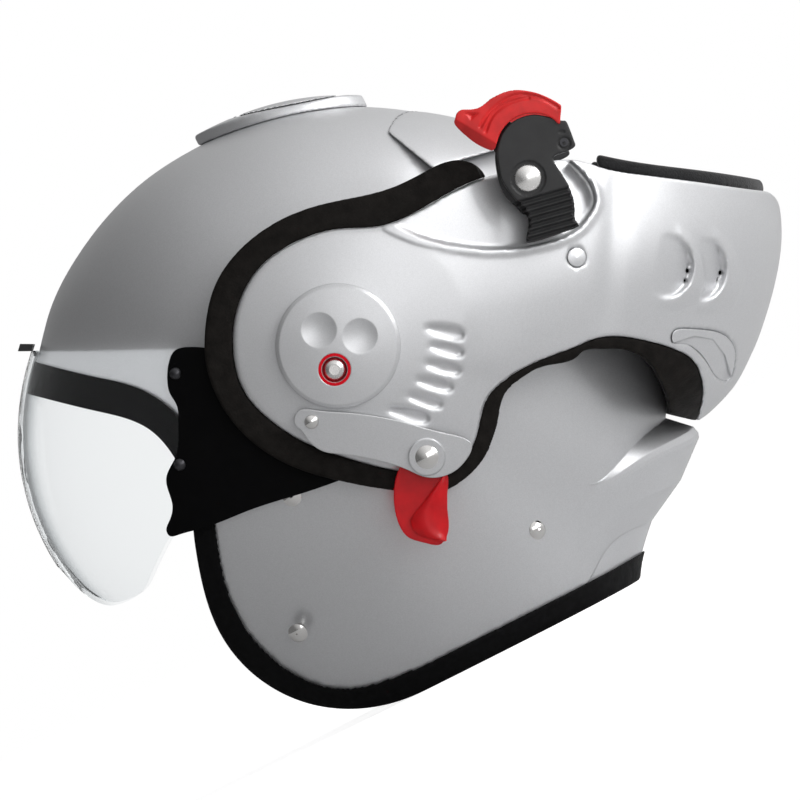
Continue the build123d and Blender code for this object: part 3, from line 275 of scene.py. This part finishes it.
def ramp(made, factor, stops):
    """Colour ramp of (place, colour or grey) stops."""
    node = node_of(made, "ValToRGB")
    elements = node.color_ramp.elements
    while len(elements) < len(stops):
        elements.new(0.5)
    for element, (where, colour) in zip(elements, stops):
        element.position = where
        element.color = colour + (1.0,) if isinstance(colour, tuple) else (colour, colour, colour, 1.0)
    wire(made, factor, node.inputs["Fac"])
    return node.outputs["Color"]


def bump(made, height, depth, strength=1.0):
    """Bump of a height pattern, added to any bump that is there already."""
    shader = made.node_tree.nodes["Principled BSDF"]
    node = node_of(made, "Bump", Strength=strength, Distance=depth)
    wire(made, height, node.inputs["Height"])
    if shader.inputs["Normal"].is_linked:
        wire(made, shader.inputs["Normal"].links[0].from_socket, node.inputs["Normal"])
    wire(made, node.outputs["Normal"], shader.inputs["Normal"])


def tint(made, factor, stops):
    """Base colour from a ramp."""
    wire(made, ramp(made, factor, stops), made.node_tree.nodes["Principled BSDF"].inputs["Base Color"])


def roughen(made, factor, low, high):
    """Roughness that varies between two values."""
    varied = ramp(made, factor, [(0.3, low), (0.7, high)])
    wire(made, varied, made.node_tree.nodes["Principled BSDF"].inputs["Roughness"])


def shade(colour, share):
    return tuple(part * share for part in colour)


def soften(made, radius):
    """Light catches every edge as if it had this radius."""
    edge = node_of(made, "Bevel", samples=6, Radius=radius)
    wire(made, edge.outputs["Normal"], made.node_tree.nodes["Principled BSDF"].inputs["Normal"])


def crown_sides(made):
    """Very slight crowning of the side panels, highest at the hinge."""
    apart = node_of(made, "VectorMath", operation="SUBTRACT")
    wire(made, place(made), apart.inputs[0])
    apart.inputs[1].default_value = hinge_centre
    flat = node_of(made, "VectorMath", operation="MULTIPLY")
    wire(made, apart.outputs["Vector"], flat.inputs[0])
    flat.inputs[1].default_value = (1.0, 0.0, 1.0)
    squared = node_of(made, "VectorMath", operation="DOT_PRODUCT")
    wire(made, flat.outputs["Vector"], squared.inputs[0])
    wire(made, flat.outputs["Vector"], squared.inputs[1])
    eased = node_of(made, "Math", operation="ADD")
    wire(made, squared.outputs["Value"], eased.inputs[0])
    eased.inputs[1].default_value = crown_radius ** 2
    reach = node_of(made, "Math", operation="SQRT")
    wire(made, eased.outputs[0], reach.inputs[0])
    height = node_of(made, "Math", operation="MULTIPLY")
    wire(made, reach.outputs[0], height.inputs[0])
    height.inputs[1].default_value = -crown_slope
    bump(made, height.outputs[0], 1.0 * metre)


def make_paint():
    """Satin silver metallic paint: fine flakes and a little orange peel."""
    made = material("silver paint", Metallic=0.5, Coat_Weight=0.25, Coat_Roughness=0.3)
    soften(made, edge_radius)
    crown_sides(made)
    flakes = cells(made, 0.35 * mm)["Color"]
    tint(made, flakes, [(0.0, shade(silver, 0.94)), (1.0, shade(silver, 1.06))])
    roughen(made, noise(made, 24 * mm), 0.33, 0.38)
    bump(made, noise(made, 0.9 * mm, 1.0), 0.01 * mm, 0.25)
    return made


def make_rubber(name, colour, size, depth):
    """Black rubber with a fine moulded grain."""
    made = material(name, Specular_IOR_Level=0.07)
    tint(made, noise(made, 6 * size), [(0.3, shade(colour, 0.8)), (0.7, shade(colour, 1.5))])
    roughen(made, noise(made, 8 * size), 0.55, 0.7)
    bump(made, cells(made, size)["Distance"], depth)
    return made


def make_plastic(name, colour, roughness, size=0.5 * mm, depth=0.02 * mm, gloss=0.2):
    """Moulded plastic with a fine grain."""
    made = material(name, Specular_IOR_Level=gloss)
    tint(made, noise(made, 14 * size), [(0.3, shade(colour, 0.9)), (0.7, shade(colour, 1.15))])
    roughen(made, noise(made, 30 * size), roughness - 0.05, roughness + 0.05)
    bump(made, noise(made, size, 3.0), depth, 0.5)
    return made


def make_metal(name, colour, roughness, size=0.6 * mm):
    """Bare metal with faint scratches."""
    made = material(name, Metallic=1.0)
    tint(made, noise(made, 6 * mm), [(0.3, shade(colour, 0.93)), (0.7, colour)])
    roughen(made, noise(made, size, 4.0), roughness * 0.8, roughness * 1.2)
    return made


def make_lens():
    """Clear visor plastic, darker where it is seen edge on."""
    made = material("visor lens", IOR=1.02, Transmission_Weight=1.0, Coat_Weight=0.15, Coat_IOR=1.5,
                    Coat_Roughness=0.02)
    facing = node_of(made, "LayerWeight", Blend=0.5)
    tint(made, facing.outputs["Facing"], lens_fade)
    roughen(made, noise(made, 20 * mm), 0.0, 0.015)
    return made


def make_ribbon_film():
    """Translucent red film of the pull ribbon."""
    made = material("red ribbon", Roughness=0.3, Transmission_Weight=0.45, IOR=1.35)
    tint(made, noise(made, 5 * mm), [(0.3, shade(ribbon_red, 0.85)), (0.7, ribbon_red)])
    bump(made, noise(made, 3 * mm), 0.1 * mm, 0.3)
    return made


def make_fabric(name, colour, size):
    """Woven or knitted fabric with a soft sheen."""
    made = material(name, Sheen_Weight=0.35, Sheen_Roughness=0.5, Specular_IOR_Level=0.2)
    specks = cells(made, size)
    tint(made, specks["Distance"], [(0.0, shade(colour, 1.8)), (0.6, colour), (1.0, shade(colour, 0.4))])
    roughen(made, noise(made, 12 * mm), 0.8, 0.95)
    bump(made, specks["Distance"], 0.15 * mm)
    return made


def make_foam():
    """Beaded foam: pressed beads with fine borders."""
    made = material("bead foam", Specular_IOR_Level=0.25)
    beads = cells(made, 3.2 * mm, "DISTANCE_TO_EDGE")["Distance"]
    tint(made, beads, [(0.0, shade(foam_black, 0.5)), (0.12, foam_black), (0.5, shade(foam_black, 1.5))])
    roughen(made, noise(made, 5 * mm), 0.75, 0.9)
    bump(made, beads, 0.25 * mm, 0.6)
    return made


paint = make_paint()
trim_rubber = make_rubber("trim rubber", rubber_black, 0.5 * mm, 0.03 * mm)
gasket_rubber = make_rubber("gasket rubber", gasket_black, 0.8 * mm, 0.15 * mm)
black_plastic = make_plastic("black plastic", plastic_black, 0.42, gloss=0.3)
latch_plastic = make_plastic("latch plastic", latch_black, 0.42, gloss=0.35)
bracket_plastic = make_plastic("bracket plastic", plastic_black, 0.6, gloss=0.05)
red_plastic = make_plastic("red plastic", lever_red, 0.35, gloss=0.4)
chrome = make_metal("polished steel", steel, 0.12)
bright_steel = make_metal("bright steel", pale_steel, 0.25)
brushed = make_metal("brushed steel", steel, 0.3)
dark_steel = make_metal("dark steel", deep_steel, 0.35)
red_ring = make_metal("red ring", ring_red, 0.25)
lens = make_lens()
ribbon = make_ribbon_film()
lining = make_fabric("lining fabric", fabric_black, 1.1 * mm)
neoprene = make_fabric("neoprene", fabric_black, 0.8 * mm)
webbing = make_fabric("strap webbing", fabric_black, 1.4 * mm)
foam = make_foam()
thread = make_fabric("thread", thread_grey, 0.6 * mm)

finishes = {
    "silver_paint": paint, "black_rubber": trim_rubber, "gasket_rubber": gasket_rubber, "black_foam": foam,
    "black_fabric": lining, "black_webbing": webbing,
    "black_plastic": black_plastic, "red_plastic": red_plastic,
    "red_film": ribbon, "red_anodised": red_ring, "polished_steel": chrome, "brushed_steel": brushed,
    "dark_steel": dark_steel, "clear_lens": lens,
}
for entry in frame["record"]["subparts"]:
    item = nodes[entry["node"]]
    item.data.materials.clear()
    item.data.materials.append(finishes[entry["material_slot"]])
nodes["visor_tab"].data.materials[0] = latch_plastic
for dome_name in ("latch_dome_left", "latch_dome_right"):
    nodes[dome_name].data.materials[0] = bright_steel
for bracket_name in ("visor_bracket_left", "visor_bracket_right"):
    nodes[bracket_name].data.materials[0] = bracket_plastic


def linked(name, data):
    """New object in the scene with a mesh, lamp or camera."""
    piece = bpy.data.objects.new(name, data)
    bpy.context.scene.collection.objects.link(piece)
    return piece


def copied(name, *node_names):
    """New piece with the meshes of one or more CAD nodes, which it will stand for."""
    joined = bmesh.new()
    for node_name in node_names:
        joined.from_mesh(nodes[node_name].data)
    bmesh.ops.remove_doubles(joined, verts=joined.verts, dist=weld_distance)
    mesh = bpy.data.meshes.new(name)
    joined.to_mesh(mesh)
    joined.free()
    return linked(name, mesh)


def applied(piece):
    """Make the modifiers' result the piece's own mesh."""
    graph = bpy.context.evaluated_depsgraph_get()
    mesh = bpy.data.meshes.new_from_object(piece.evaluated_get(graph))
    piece.modifiers.clear()
    piece.data = mesh
    return piece


def moulded(piece, voxel, rounds):
    """Even fine mesh with every edge rounded."""
    cells_of = piece.modifiers.new("cells", "REMESH")
    cells_of.mode = "VOXEL"
    cells_of.voxel_size = voxel
    cells_of.use_smooth_shade = True
    smooth = piece.modifiers.new("smooth", "SMOOTH")
    smooth.iterations = rounds
    return applied(piece)


def grown(piece, distance):
    """Moves the surface out by a distance."""
    moved = [(vertex.co + vertex.normal * distance) for vertex in piece.data.vertices]
    for vertex, point in zip(piece.data.vertices, moved):
        vertex.co = point
    piece.data.update()
    return piece


def puffed(piece, pressure, most):
    """Cloth inflated by inner pressure, with no point moved further than most."""
    before = [vertex.co.copy() for vertex in piece.data.vertices]
    cloth = piece.modifiers.new("cloth", "CLOTH")
    cloth.settings.use_pressure = True
    cloth.settings.uniform_pressure_force = pressure
    cloth.settings.effector_weights.gravity = 0.0
    cloth.settings.quality = 5
    for number in range(1, puff_frames + 1):
        bpy.context.scene.frame_set(number)
    applied(piece)
    bpy.context.scene.frame_set(1)
    for vertex, point in zip(piece.data.vertices, before):
        step = vertex.co - point
        if step.length > most:
            vertex.co = point + step.normalized() * most
    return piece


def refined(piece, levels=1):
    """One more subdivision, shaded smooth."""
    more = piece.modifiers.new("finer", "SUBSURF")
    more.levels = levels
    more.render_levels = levels
    applied(piece)
    piece.data.polygons.foreach_set("use_smooth", [True] * len(piece.data.polygons))
    return piece


def sewn(piece, depth, width, line):
    """Presses a seam into the surface wherever line gives a small distance from it."""
    pressed = []
    for vertex in piece.data.vertices:
        away = line(vertex.co, vertex.normal)
        pressed.append(vertex.co - vertex.normal * depth * math.exp(-(away / width) ** 2))
    for vertex, point in zip(piece.data.vertices, pressed):
        vertex.co = point
    piece.data.update()
    return piece


def fitted(piece, body, slot, finish, *node_names):
    """Hangs a finished piece on its body in place of its CAD nodes."""
    piece.data.materials.clear()
    piece.data.materials.append(finish)
    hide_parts(*node_names)
    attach(piece, body)
    return piece


def ring_seam(low, high, axes, inset, power=3.0):
    """Distance from a rounded seam that runs inside the edge of a pad, seen along the remaining axis."""
    centre = [(low[axis] + high[axis]) / 2 for axis in axes]
    half = [(high[axis] - low[axis]) / 2 for axis in axes]
    reach = min(half)

    def away(point, normal):
        shares = [abs(point[axis] - middle_of) / side for axis, middle_of, side in zip(axes, centre, half)]
        share = sum(part ** power for part in shares) ** (1 / power)
        return (share - 1) * reach + inset

    return away


def make_cheek_pad(side):
    """Cheek cushion with a sewn seam inside its edge and two channels across."""
    node = "cheek_pad_" + side
    low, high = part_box(node)
    pad = moulded(copied("cheek_cushion_" + side, node), pad_voxel, 4)
    puffed(pad, pad_pressure, pad_swell)
    refined(pad)
    sewn(pad, seam_depth, seam_width, ring_seam(low, high, (0, 2), pad_seam_inset))
    length = high[0] - low[0]
    for share in channel_shares:
        start = low[0] + length * share
        lean = channel_lean if share < 0.5 else -channel_lean
        sewn(pad, channel_depth, seam_width,
             lambda point, normal, start=start, lean=lean: point.x - start - lean * (point.z - low[2]))
    fitted(pad, "helmet", "black_fabric", lining, node)


def make_neck_cushion():
    """Neck roll with sewn channels that stand upright round the back of the neck."""
    low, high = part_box("neck_roll")
    roll = moulded(copied("neck_cushion", "neck_roll"), pad_voxel, 4)
    puffed(roll, pad_pressure, pad_swell)
    refined(roll)
    turn = math.pi / neck_channels

    def channels(point, normal):
        angle = math.atan2(point.y, point.x - low[0] + neck_depth)
        return (abs(angle / turn - round(angle / turn)) * turn) * (point.x - low[0] + neck_depth)

    sewn(roll, seam_depth, seam_width, channels)
    fitted(roll, "helmet", "black_fabric", lining, "neck_roll")


def make_crown_cushion():
    """Crown lining with quilted channels from front to back and a seam across."""
    low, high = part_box("crown_lining")
    cap = moulded(copied("crown_cushion", "crown_lining"), crown_voxel, 3)
    spacing = (high[1] - low[1]) / crown_channels

    def channels(point, normal):
        return (point.y / spacing - math.floor(point.y / spacing) - 0.5) * spacing

    sewn(cap, crown_seam_depth, seam_width, channels)
    sewn(cap, crown_seam_depth, seam_width, lambda point, normal: point.x - (low[0] + high[0]) / 2)
    fitted(cap, "helmet", "black_fabric", lining, "crown_lining")


def make_chin_curtain():
    """Rounded neoprene strip along the edge of the chin."""
    strip = moulded(copied("chin_strip", "chin_curtain"), curtain_voxel, 3)
    grown(strip, curtain_swell)
    moulded(strip, curtain_voxel, 5)
    fitted(strip, "chin", "black_fabric", neoprene, "chin_curtain")


def make_webbing(side):
    """Chin strap half with rounded edges and a sewn box of stitches."""
    node = "chin_strap_" + side
    low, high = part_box(node)
    strap = copied("strap_webbing_" + side, node)
    rounded = strap.modifiers.new("edges", "BEVEL")
    rounded.width = strap_edge
    rounded.segments = 2
    rounded.limit_method = "ANGLE"
    applied(strap)
    fitted(strap, "helmet", "black_webbing", webbing, node)
    shape = nodes[node].data
    faces = [face.vertices for face in shape.polygons]
    tree = BVHTree.FromPolygons([vertex.co for vertex in shape.vertices], faces)
    sign = -1 if side == "left" else 1
    middle_x = (low[0] + high[0]) / 2
    half = (high[0] - low[0]) / 2 * stitch_box_share
    near = sign * stitch_start
    far = sign * (stitch_start + stitch_length)
    low_x = middle_x - half
    high_x = middle_x + half
    corners = [(low_x, near), (high_x, near), (high_x, far), (low_x, far)]
    made = bmesh.new()
    for first, last in ((0, 1), (1, 2), (2, 3), (3, 0), (0, 2), (1, 3)):
        start = corners[first]
        end = corners[last]
        span = math.hypot(end[0] - start[0], end[1] - start[1])
        count = max(2, int(span / stitch_pitch))
        for index in range(count):
            share = (index + 0.5) / count
            x = start[0] + (end[0] - start[0]) * share
            y = start[1] + (end[1] - start[1]) * share
            hit = tree.ray_cast(Vector((x, y, low[2] - stitch_search)), Vector((0, 0, 1)))
            if hit[0] is None:
                continue
            angle = math.atan2(end[1] - start[1], end[0] - start[0])
            size = Matrix.Diagonal((stitch_half_length, stitch_radius, stitch_radius, 1.0))
            spin = Matrix.Rotation(angle, 4, "Z")
            bmesh.ops.create_uvsphere(made, u_segments=8, v_segments=6, radius=1.0,
                                      matrix=Matrix.Translation(hit[0]) @ spin @ size)
    mesh = bpy.data.meshes.new("strap_stitches_" + side)
    made.to_mesh(mesh)
    made.free()
    mesh.polygons.foreach_set("use_smooth", [True] * len(mesh.polygons))
    mesh.materials.append(thread)
    stitches = linked("strap_stitches_" + side, mesh)
    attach(stitches, "helmet")


def smooth_line(points, steps, closed=True):
    """Points on a smooth curve through a few given ones."""
    count = len(points)
    line = []
    for index in range(count if closed else count - 1):
        if closed:
            four = [Vector(points[(index + shift) % count]) for shift in (-1, 0, 1, 2)]
        else:
            four = [Vector(points[min(max(index + shift, 0), count - 1)]) for shift in (-1, 0, 1, 2)]
        before, start, end, after = four
        for step in range(steps):
            share = step / steps
            line.append(0.5 * (2 * start + (end - before) * share
                               + (2 * before - 5 * start + 4 * end - after) * share ** 2
                               + (3 * start - before - 3 * end + after) * share ** 3))
    if not closed:
        line.append(Vector(points[-1]))
    return line


def photo_place(pixel, out):
    """Point seen at a pixel of the photograph, on a plane this far out from the helmet's middle."""
    size = frame_width / frame_pixels * (camera_distance - out) / camera_distance
    right = (pixel[0] - frame_pixels / 2) * size
    up = (frame_pixels / 2 - pixel[1]) * size
    return camera_aim + photo_right * right + photo_up * up


def disc_shares(points):
    """Crop pixels as shares of the latch disc's radius, right and up from its centre."""
    across, height = disc_crop_centre
    return [Vector((right - across, height - down)) / disc_crop_radius for right, down in points]


def release_outline():
    """Outline of the release lever: its back and its heel, with an arc round the disc between them."""
    arc = []
    for index in range(release_arc_points):
        angle = release_arc_start + (release_arc_end - release_arc_start) * index / (release_arc_points - 1)
        arc.append(Vector((math.cos(angle), math.sin(angle))) * release_arc_share)
    return disc_shares(release_back_crop) + arc + disc_shares(release_heel_crop)


def latch_place(share, depth, sign):
    """Point on the latch: a share of the disc's radius from its centre, and the distance from the middle."""
    flat = disc_centre + photo_right * (share[0] * disc_radius) + photo_up * (share[1] * disc_radius)
    return Vector((flat.x, sign * depth, flat.z))


def latch_share(point):
    """The share of the disc's radius at which a point of the latch lies."""
    away = (point - disc_centre) / disc_radius
    return Vector((away.dot(photo_right), away.dot(photo_up)))


def slab(made, outline, inner, outer, sign):
    """Adds a flat plate with a smooth outline to a mesh under construction."""
    line = smooth_line(outline, outline_steps)
    top = [made.verts.new(latch_place(share, outer, sign)) for share in line]
    bottom = [made.verts.new(latch_place(share, inner, sign)) for share in line]
    count = len(line)
    made.faces.new(top)
    made.faces.new(bottom[::-1])
    for index in range(count):
        after = (index + 1) % count
        made.faces.new((top[after], top[index], bottom[index], bottom[after]))


def line_distance(point, line):
    """Shortest distance from a point to a line of points, all flat."""
    best = None
    for start, end in zip(line, line[1:]):
        along = end - start
        share = max(0.0, min(1.0, (point - start).dot(along) / along.length_squared))
        away = (point - start - along * share).length
        best = away if best is None else min(best, away)
    return best


def carved(piece, push):
    """Moves each point of a piece along its normal by what push says, inwards if positive."""
    moved = [vertex.co - vertex.normal * push(vertex.co, vertex.normal) for vertex in piece.data.vertices]
    for vertex, point in zip(piece.data.vertices, moved):
        vertex.co = point
    piece.data.update()
    return piece


def solid_of(name, slabs, sign):
    """Piece from one or more flat plates, joined and rounded."""
    made = bmesh.new()
    for outline, inner, outer in slabs:
        slab(made, outline, inner, outer, sign)
    bmesh.ops.triangulate(made, faces=made.faces)
    bmesh.ops.recalc_face_normals(made, faces=made.faces)
    mesh = bpy.data.meshes.new(name)
    made.to_mesh(mesh)
    made.free()
    return moulded(linked(name, mesh), small_voxel, 3)


def make_latch(side):
    """Latch with a ribbed grip, a ring round its pivot and a pin in its nose."""
    sign = -1 if side == "left" else 1
    slabs = [(disc_shares(latch_crop), latch_inner, latch_outer),
             (disc_shares(latch_base_crop), latch_inner, latch_base_outer),
             (disc_shares(latch_ledge_crop), latch_ledge_inner, latch_base_outer)]
    latch = solid_of("latch_moulding_" + side, slabs, sign)
    start, end, low = disc_shares(rib_crop)
    along = (end - start).normalized()
    across = Vector((along.y, -along.x))
    zone = (low - start).dot(across)
    dome, pin = disc_shares([dome_crop, pin_crop])
    slot = disc_shares(slot_crop)

    def push(point, normal):
        share = latch_share(point)
        facing = max(0.0, normal.y * sign)
        rib = (share - start).dot(across) / zone
        total = 0.0
        if 0 < rib < 1 and normal.y * sign > rib_facing:
            total += rib_depth * (0.5 - 0.5 * math.cos(2 * math.pi * rib * rib_count)) ** rib_sharpness
        if (share - dome).length < ring_share:
            total += ring_depth * facing
        ring = abs((share - pin).length - pin_ring_share) * disc_radius
        total += fine_depth * math.exp(-(ring / fine_width) ** 2) * facing
        total += fine_depth * math.exp(-(line_distance(share, slot) * disc_radius / fine_width) ** 2) * facing
        return total

    carved(latch, push)
    fitted(latch, "latch_" + side, "black_plastic", latch_plastic, "latch_" + side)


def make_release(side):
    """Red release lever with two curved grooves, a hollow, a slanted end and a serrated back."""
    sign = -1 if side == "left" else 1
    lever = solid_of("release_moulding_" + side, [(release_outline(), release_inner, release_outer)], sign)
    crops = (outer_groove_crop, inner_groove_crop)
    grooves = [smooth_line(disc_shares(crop), outline_steps, False) for crop in crops]
    corner = disc_shares(hollow_crop)
    facet_start, facet_end = disc_shares(facet_crop)
    facet_along = (facet_end - facet_start).normalized()
    facet_across = Vector((facet_along.y, -facet_along.x))

    def push(point, normal):
        share = latch_share(point)
        facing = max(0.0, normal.y * sign)
        total = 0.0
        for line in grooves:
            away = line_distance(share, line) * disc_radius / groove_width
            total += groove_depth * math.exp(-away ** 4) * facing
        sides = zip(corner, corner[1:] + corner[:1])
        inside = min((share - start).cross(end - start) for start, end in sides)
        if inside > 0:
            total += hollow_depth * facing * min(1.0, inside / hollow_edge_share)
        if facing < 0.5 and share.x < serration_right_share and share.y > serration_low_share:
            arc = math.atan2(share.y, share.x) * share.length * disc_radius
            total += serration_depth * (0.5 - 0.5 * math.cos(2 * math.pi * arc / serration_pitch))
        return total

    carved(lever, push)
    for vertex in lever.data.vertices:
        share = latch_share(vertex.co)
        beyond = (share - facet_start).dot(facet_across) * disc_radius
        if beyond > 0:
            depth = abs(vertex.co.y) - release_inner
            kept = max(facet_least, 1 - facet_slope * beyond / (release_outer - release_inner))
            vertex.co.y = sign * (release_inner + depth * kept)
    lever.data.update()
    fitted(lever, "release_" + side, "red_plastic", red_plastic, "release_lever_" + side)


def make_ribbon(side):
    """Pull ribbon of soft film with its flap folded over."""
    node = "pull_ribbon_" + side
    sign = -1 if side == "left" else 1
    film = moulded(copied("ribbon_film_" + side, node), ribbon_voxel, 2)
    fitted(film, "lever_" + side, "red_film", ribbon, node)
    fold = smooth_line([photo_place(pixel, flap_place) for pixel in flap_fold_pixels], flap_steps, False)
    edge = smooth_line([photo_place(pixel, flap_place) for pixel in flap_edge_pixels], flap_steps, False)
    mesh = bpy.data.meshes.new("ribbon_flap_" + side)
    points = []
    for fold_point, edge_point in zip(fold, edge):
        for step in range(flap_steps + 1):
            share = step / flap_steps
            flat = fold_point.lerp(edge_point, share)
            swell = math.sqrt(1 - share ** 2) * math.sin(math.pi * min(1, flap_lead_share + share))
            points.append((flat.x, sign * (flap_base + flap_rise * swell), flat.z))
    width = flap_steps + 1
    starts = [row * width + step for row in range(len(fold) - 1) for step in range(flap_steps)]
    faces = [(first, first + 1, first + width + 1, first + width) for first in starts]
    mesh.from_pydata(points, [], faces)
    flap = linked("ribbon_flap_" + side, mesh)
    thick = flap.modifiers.new("thick", "SOLIDIFY")
    thick.thickness = film_thick
    thick.offset = 0.0
    applied(flap)
    refined(flap)
    flap.data.materials.clear()
    flap.data.materials.append(ribbon)
    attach(flap, "lever_" + side)


def make_chin_shell():
    """Painted chin bar and its vent hoods as one moulding with soft edges and a valley."""
    names = ["chin_bar", "chin_vent_hoods_left", "chin_vent_hoods_right"]
    bar = moulded(copied("chin_moulding", *names), bar_voxel, 3)
    moved = []
    for vertex in bar.data.vertices:
        point = vertex.co
        across = (point.x - valley_x - valley_lean * (point.z - valley_z)) / valley_width
        along = (point.z - valley_z) / valley_half
        outward = abs(vertex.normal.y)
        push = valley_depth * math.exp(-across ** 2) * max(0.0, 1 - along ** 4) * outward
        push *= 1.0 if abs(point.y) > valley_inner else 0.0
        moved.append(point - vertex.normal * push)
    for vertex, point in zip(bar.data.vertices, moved):
        vertex.co = point
    bar.data.update()
    fitted(bar, "chin", "silver_paint", paint, *names)


def make_rubber_strip(name, node, body, slot, finish, voxel):
    """Rubber moulding with rounded edges."""
    strip = moulded(copied(name, node), voxel, 4)
    fitted(strip, body, slot, finish, node)


def make_soft_paint(name, node, body):
    """Small painted moulding with well rounded edges."""
    fitted(moulded(copied(name, node), soft_voxel, soft_rounds), body, "silver_paint", paint, node)


for side in ("left", "right"):
    make_cheek_pad(side)
    make_webbing(side)
    make_ribbon(side)
    make_latch(side)
    make_release(side)
make_neck_cushion()
make_crown_cushion()
make_chin_curtain()
make_chin_shell()
make_rubber_strip("gasket_moulding", "visor_gasket", "chin", "gasket_rubber", gasket_rubber, gasket_voxel)
make_soft_paint("crown_vent_moulding", "crown_vent_base", "helmet")
make_soft_paint("crown_slider_moulding", "crown_vent_slider", "crown_slider")
make_soft_paint("crown_outlet_moulding", "crown_outlet", "helmet")
make_rubber_strip("rim_moulding", "rim_trim", "helmet", "black_rubber", trim_rubber, rim_voxel)


def area_lamp(name, place_at, aim, size, power):
    """Soft rectangular lamp that faces a point."""
    data = bpy.data.lights.new(name, "AREA")
    data.shape = "RECTANGLE"
    data.size, data.size_y = size
    data.energy = power
    lamp = linked(name, data)
    lamp.location = place_at
    lamp.rotation_euler = (aim - place_at).to_track_quat("-Z", "Y").to_euler()


def make_camera():
    """Camera at the photograph's viewing angle."""
    back = Vector((0, -1, 0))
    turn = Matrix((photo_right, photo_up, back)).transposed()
    data = bpy.data.cameras.new("camera")
    data.sensor_width = sensor_width
    data.lens = sensor_width * camera_distance / frame_width
    data.clip_end = camera_reach
    camera = linked("camera", data)
    camera.matrix_world = Matrix.Translation(camera_aim + back * camera_distance) @ turn.to_4x4()
    bpy.context.scene.camera = camera


def make_world():
    """White studio: camera and glass see plain white, metal sees it fade towards the front and the ground."""
    world = bpy.data.worlds.new("studio")
    bpy.context.scene.world = world
    world.use_nodes = True
    world.node_tree.nodes.clear()
    path = node_of(world, "LightPath")
    plain = node_of(world, "Background", Color=white, Strength=1.0)
    soft = node_of(world, "Background", Color=white, Strength=room_light)
    fading = node_of(world, "Background", Strength=1.0)
    towards_key = node_of(world, "VectorMath", operation="DOT_PRODUCT")
    towards_key.inputs[1].default_value = bright_side.normalized()
    wire(world, node_of(world, "TexCoord").outputs["Generated"], towards_key.inputs[0])
    spread = node_of(world, "MapRange")
    spread.inputs["From Min"].default_value = -1.0
    wire(world, towards_key.outputs["Value"], spread.inputs["Value"])
    wire(world, ramp(world, spread.outputs["Result"], studio_fade), fading.inputs["Color"])
    seen = node_of(world, "Math", operation="MAXIMUM")
    wire(world, path.outputs["Is Camera Ray"], seen.inputs[0])
    wire(world, path.outputs["Is Transmission Ray"], seen.inputs[1])
    gloss = node_of(world, "MixShader")
    wire(world, path.outputs["Is Glossy Ray"], gloss.inputs["Fac"])
    wire(world, soft.outputs[0], gloss.inputs[1])
    wire(world, fading.outputs[0], gloss.inputs[2])
    mix = node_of(world, "MixShader")
    output = node_of(world, "OutputWorld")
    wire(world, seen.outputs[0], mix.inputs["Fac"])
    wire(world, gloss.outputs[0], mix.inputs[1])
    wire(world, plain.outputs[0], mix.inputs[2])
    wire(world, mix.outputs[0], output.inputs["Surface"])


def make_floor():
    """White floor that keeps the helmet's shadow."""
    mesh = bpy.data.meshes.new("floor")
    half = floor_half
    corners = [(-half, -half, 0), (half, -half, 0), (half, half, 0), (-half, half, 0)]
    mesh.from_pydata(corners, [], [(0, 1, 2, 3)])
    floor = linked("floor", mesh)
    made = material("floor white", Base_Color=floor_white, Roughness=0.9, Specular_IOR_Level=0.0)
    shader = made.node_tree.nodes["Principled BSDF"]
    path = node_of(made, "LightPath")
    seen = node_of(made, "Math", operation="MAXIMUM")
    wire(made, path.outputs["Is Camera Ray"], seen.inputs[0])
    wire(made, path.outputs["Is Transmission Ray"], seen.inputs[1])
    straight = node_of(made, "Math", operation="MULTIPLY")
    wire(made, seen.outputs[0], straight.inputs[0])
    straight.inputs[1].default_value = floor_glow
    mirrored = node_of(made, "Math", operation="MULTIPLY")
    wire(made, path.outputs["Is Glossy Ray"], mirrored.inputs[0])
    mirrored.inputs[1].default_value = floor_mirrored_glow
    glow = node_of(made, "Math", operation="MAXIMUM")
    wire(made, straight.outputs[0], glow.inputs[0])
    wire(made, mirrored.outputs[0], glow.inputs[1])
    shader.inputs["Emission Color"].default_value = white
    wire(made, glow.outputs[0], shader.inputs["Emission Strength"])
    mesh.materials.append(made)


make_camera()
make_world()
make_floor()
for name, place_at, aim, size, power in lamps:
    area_lamp(name, place_at, aim, size, power)

bpy.context.scene.view_settings.view_transform = "Standard"
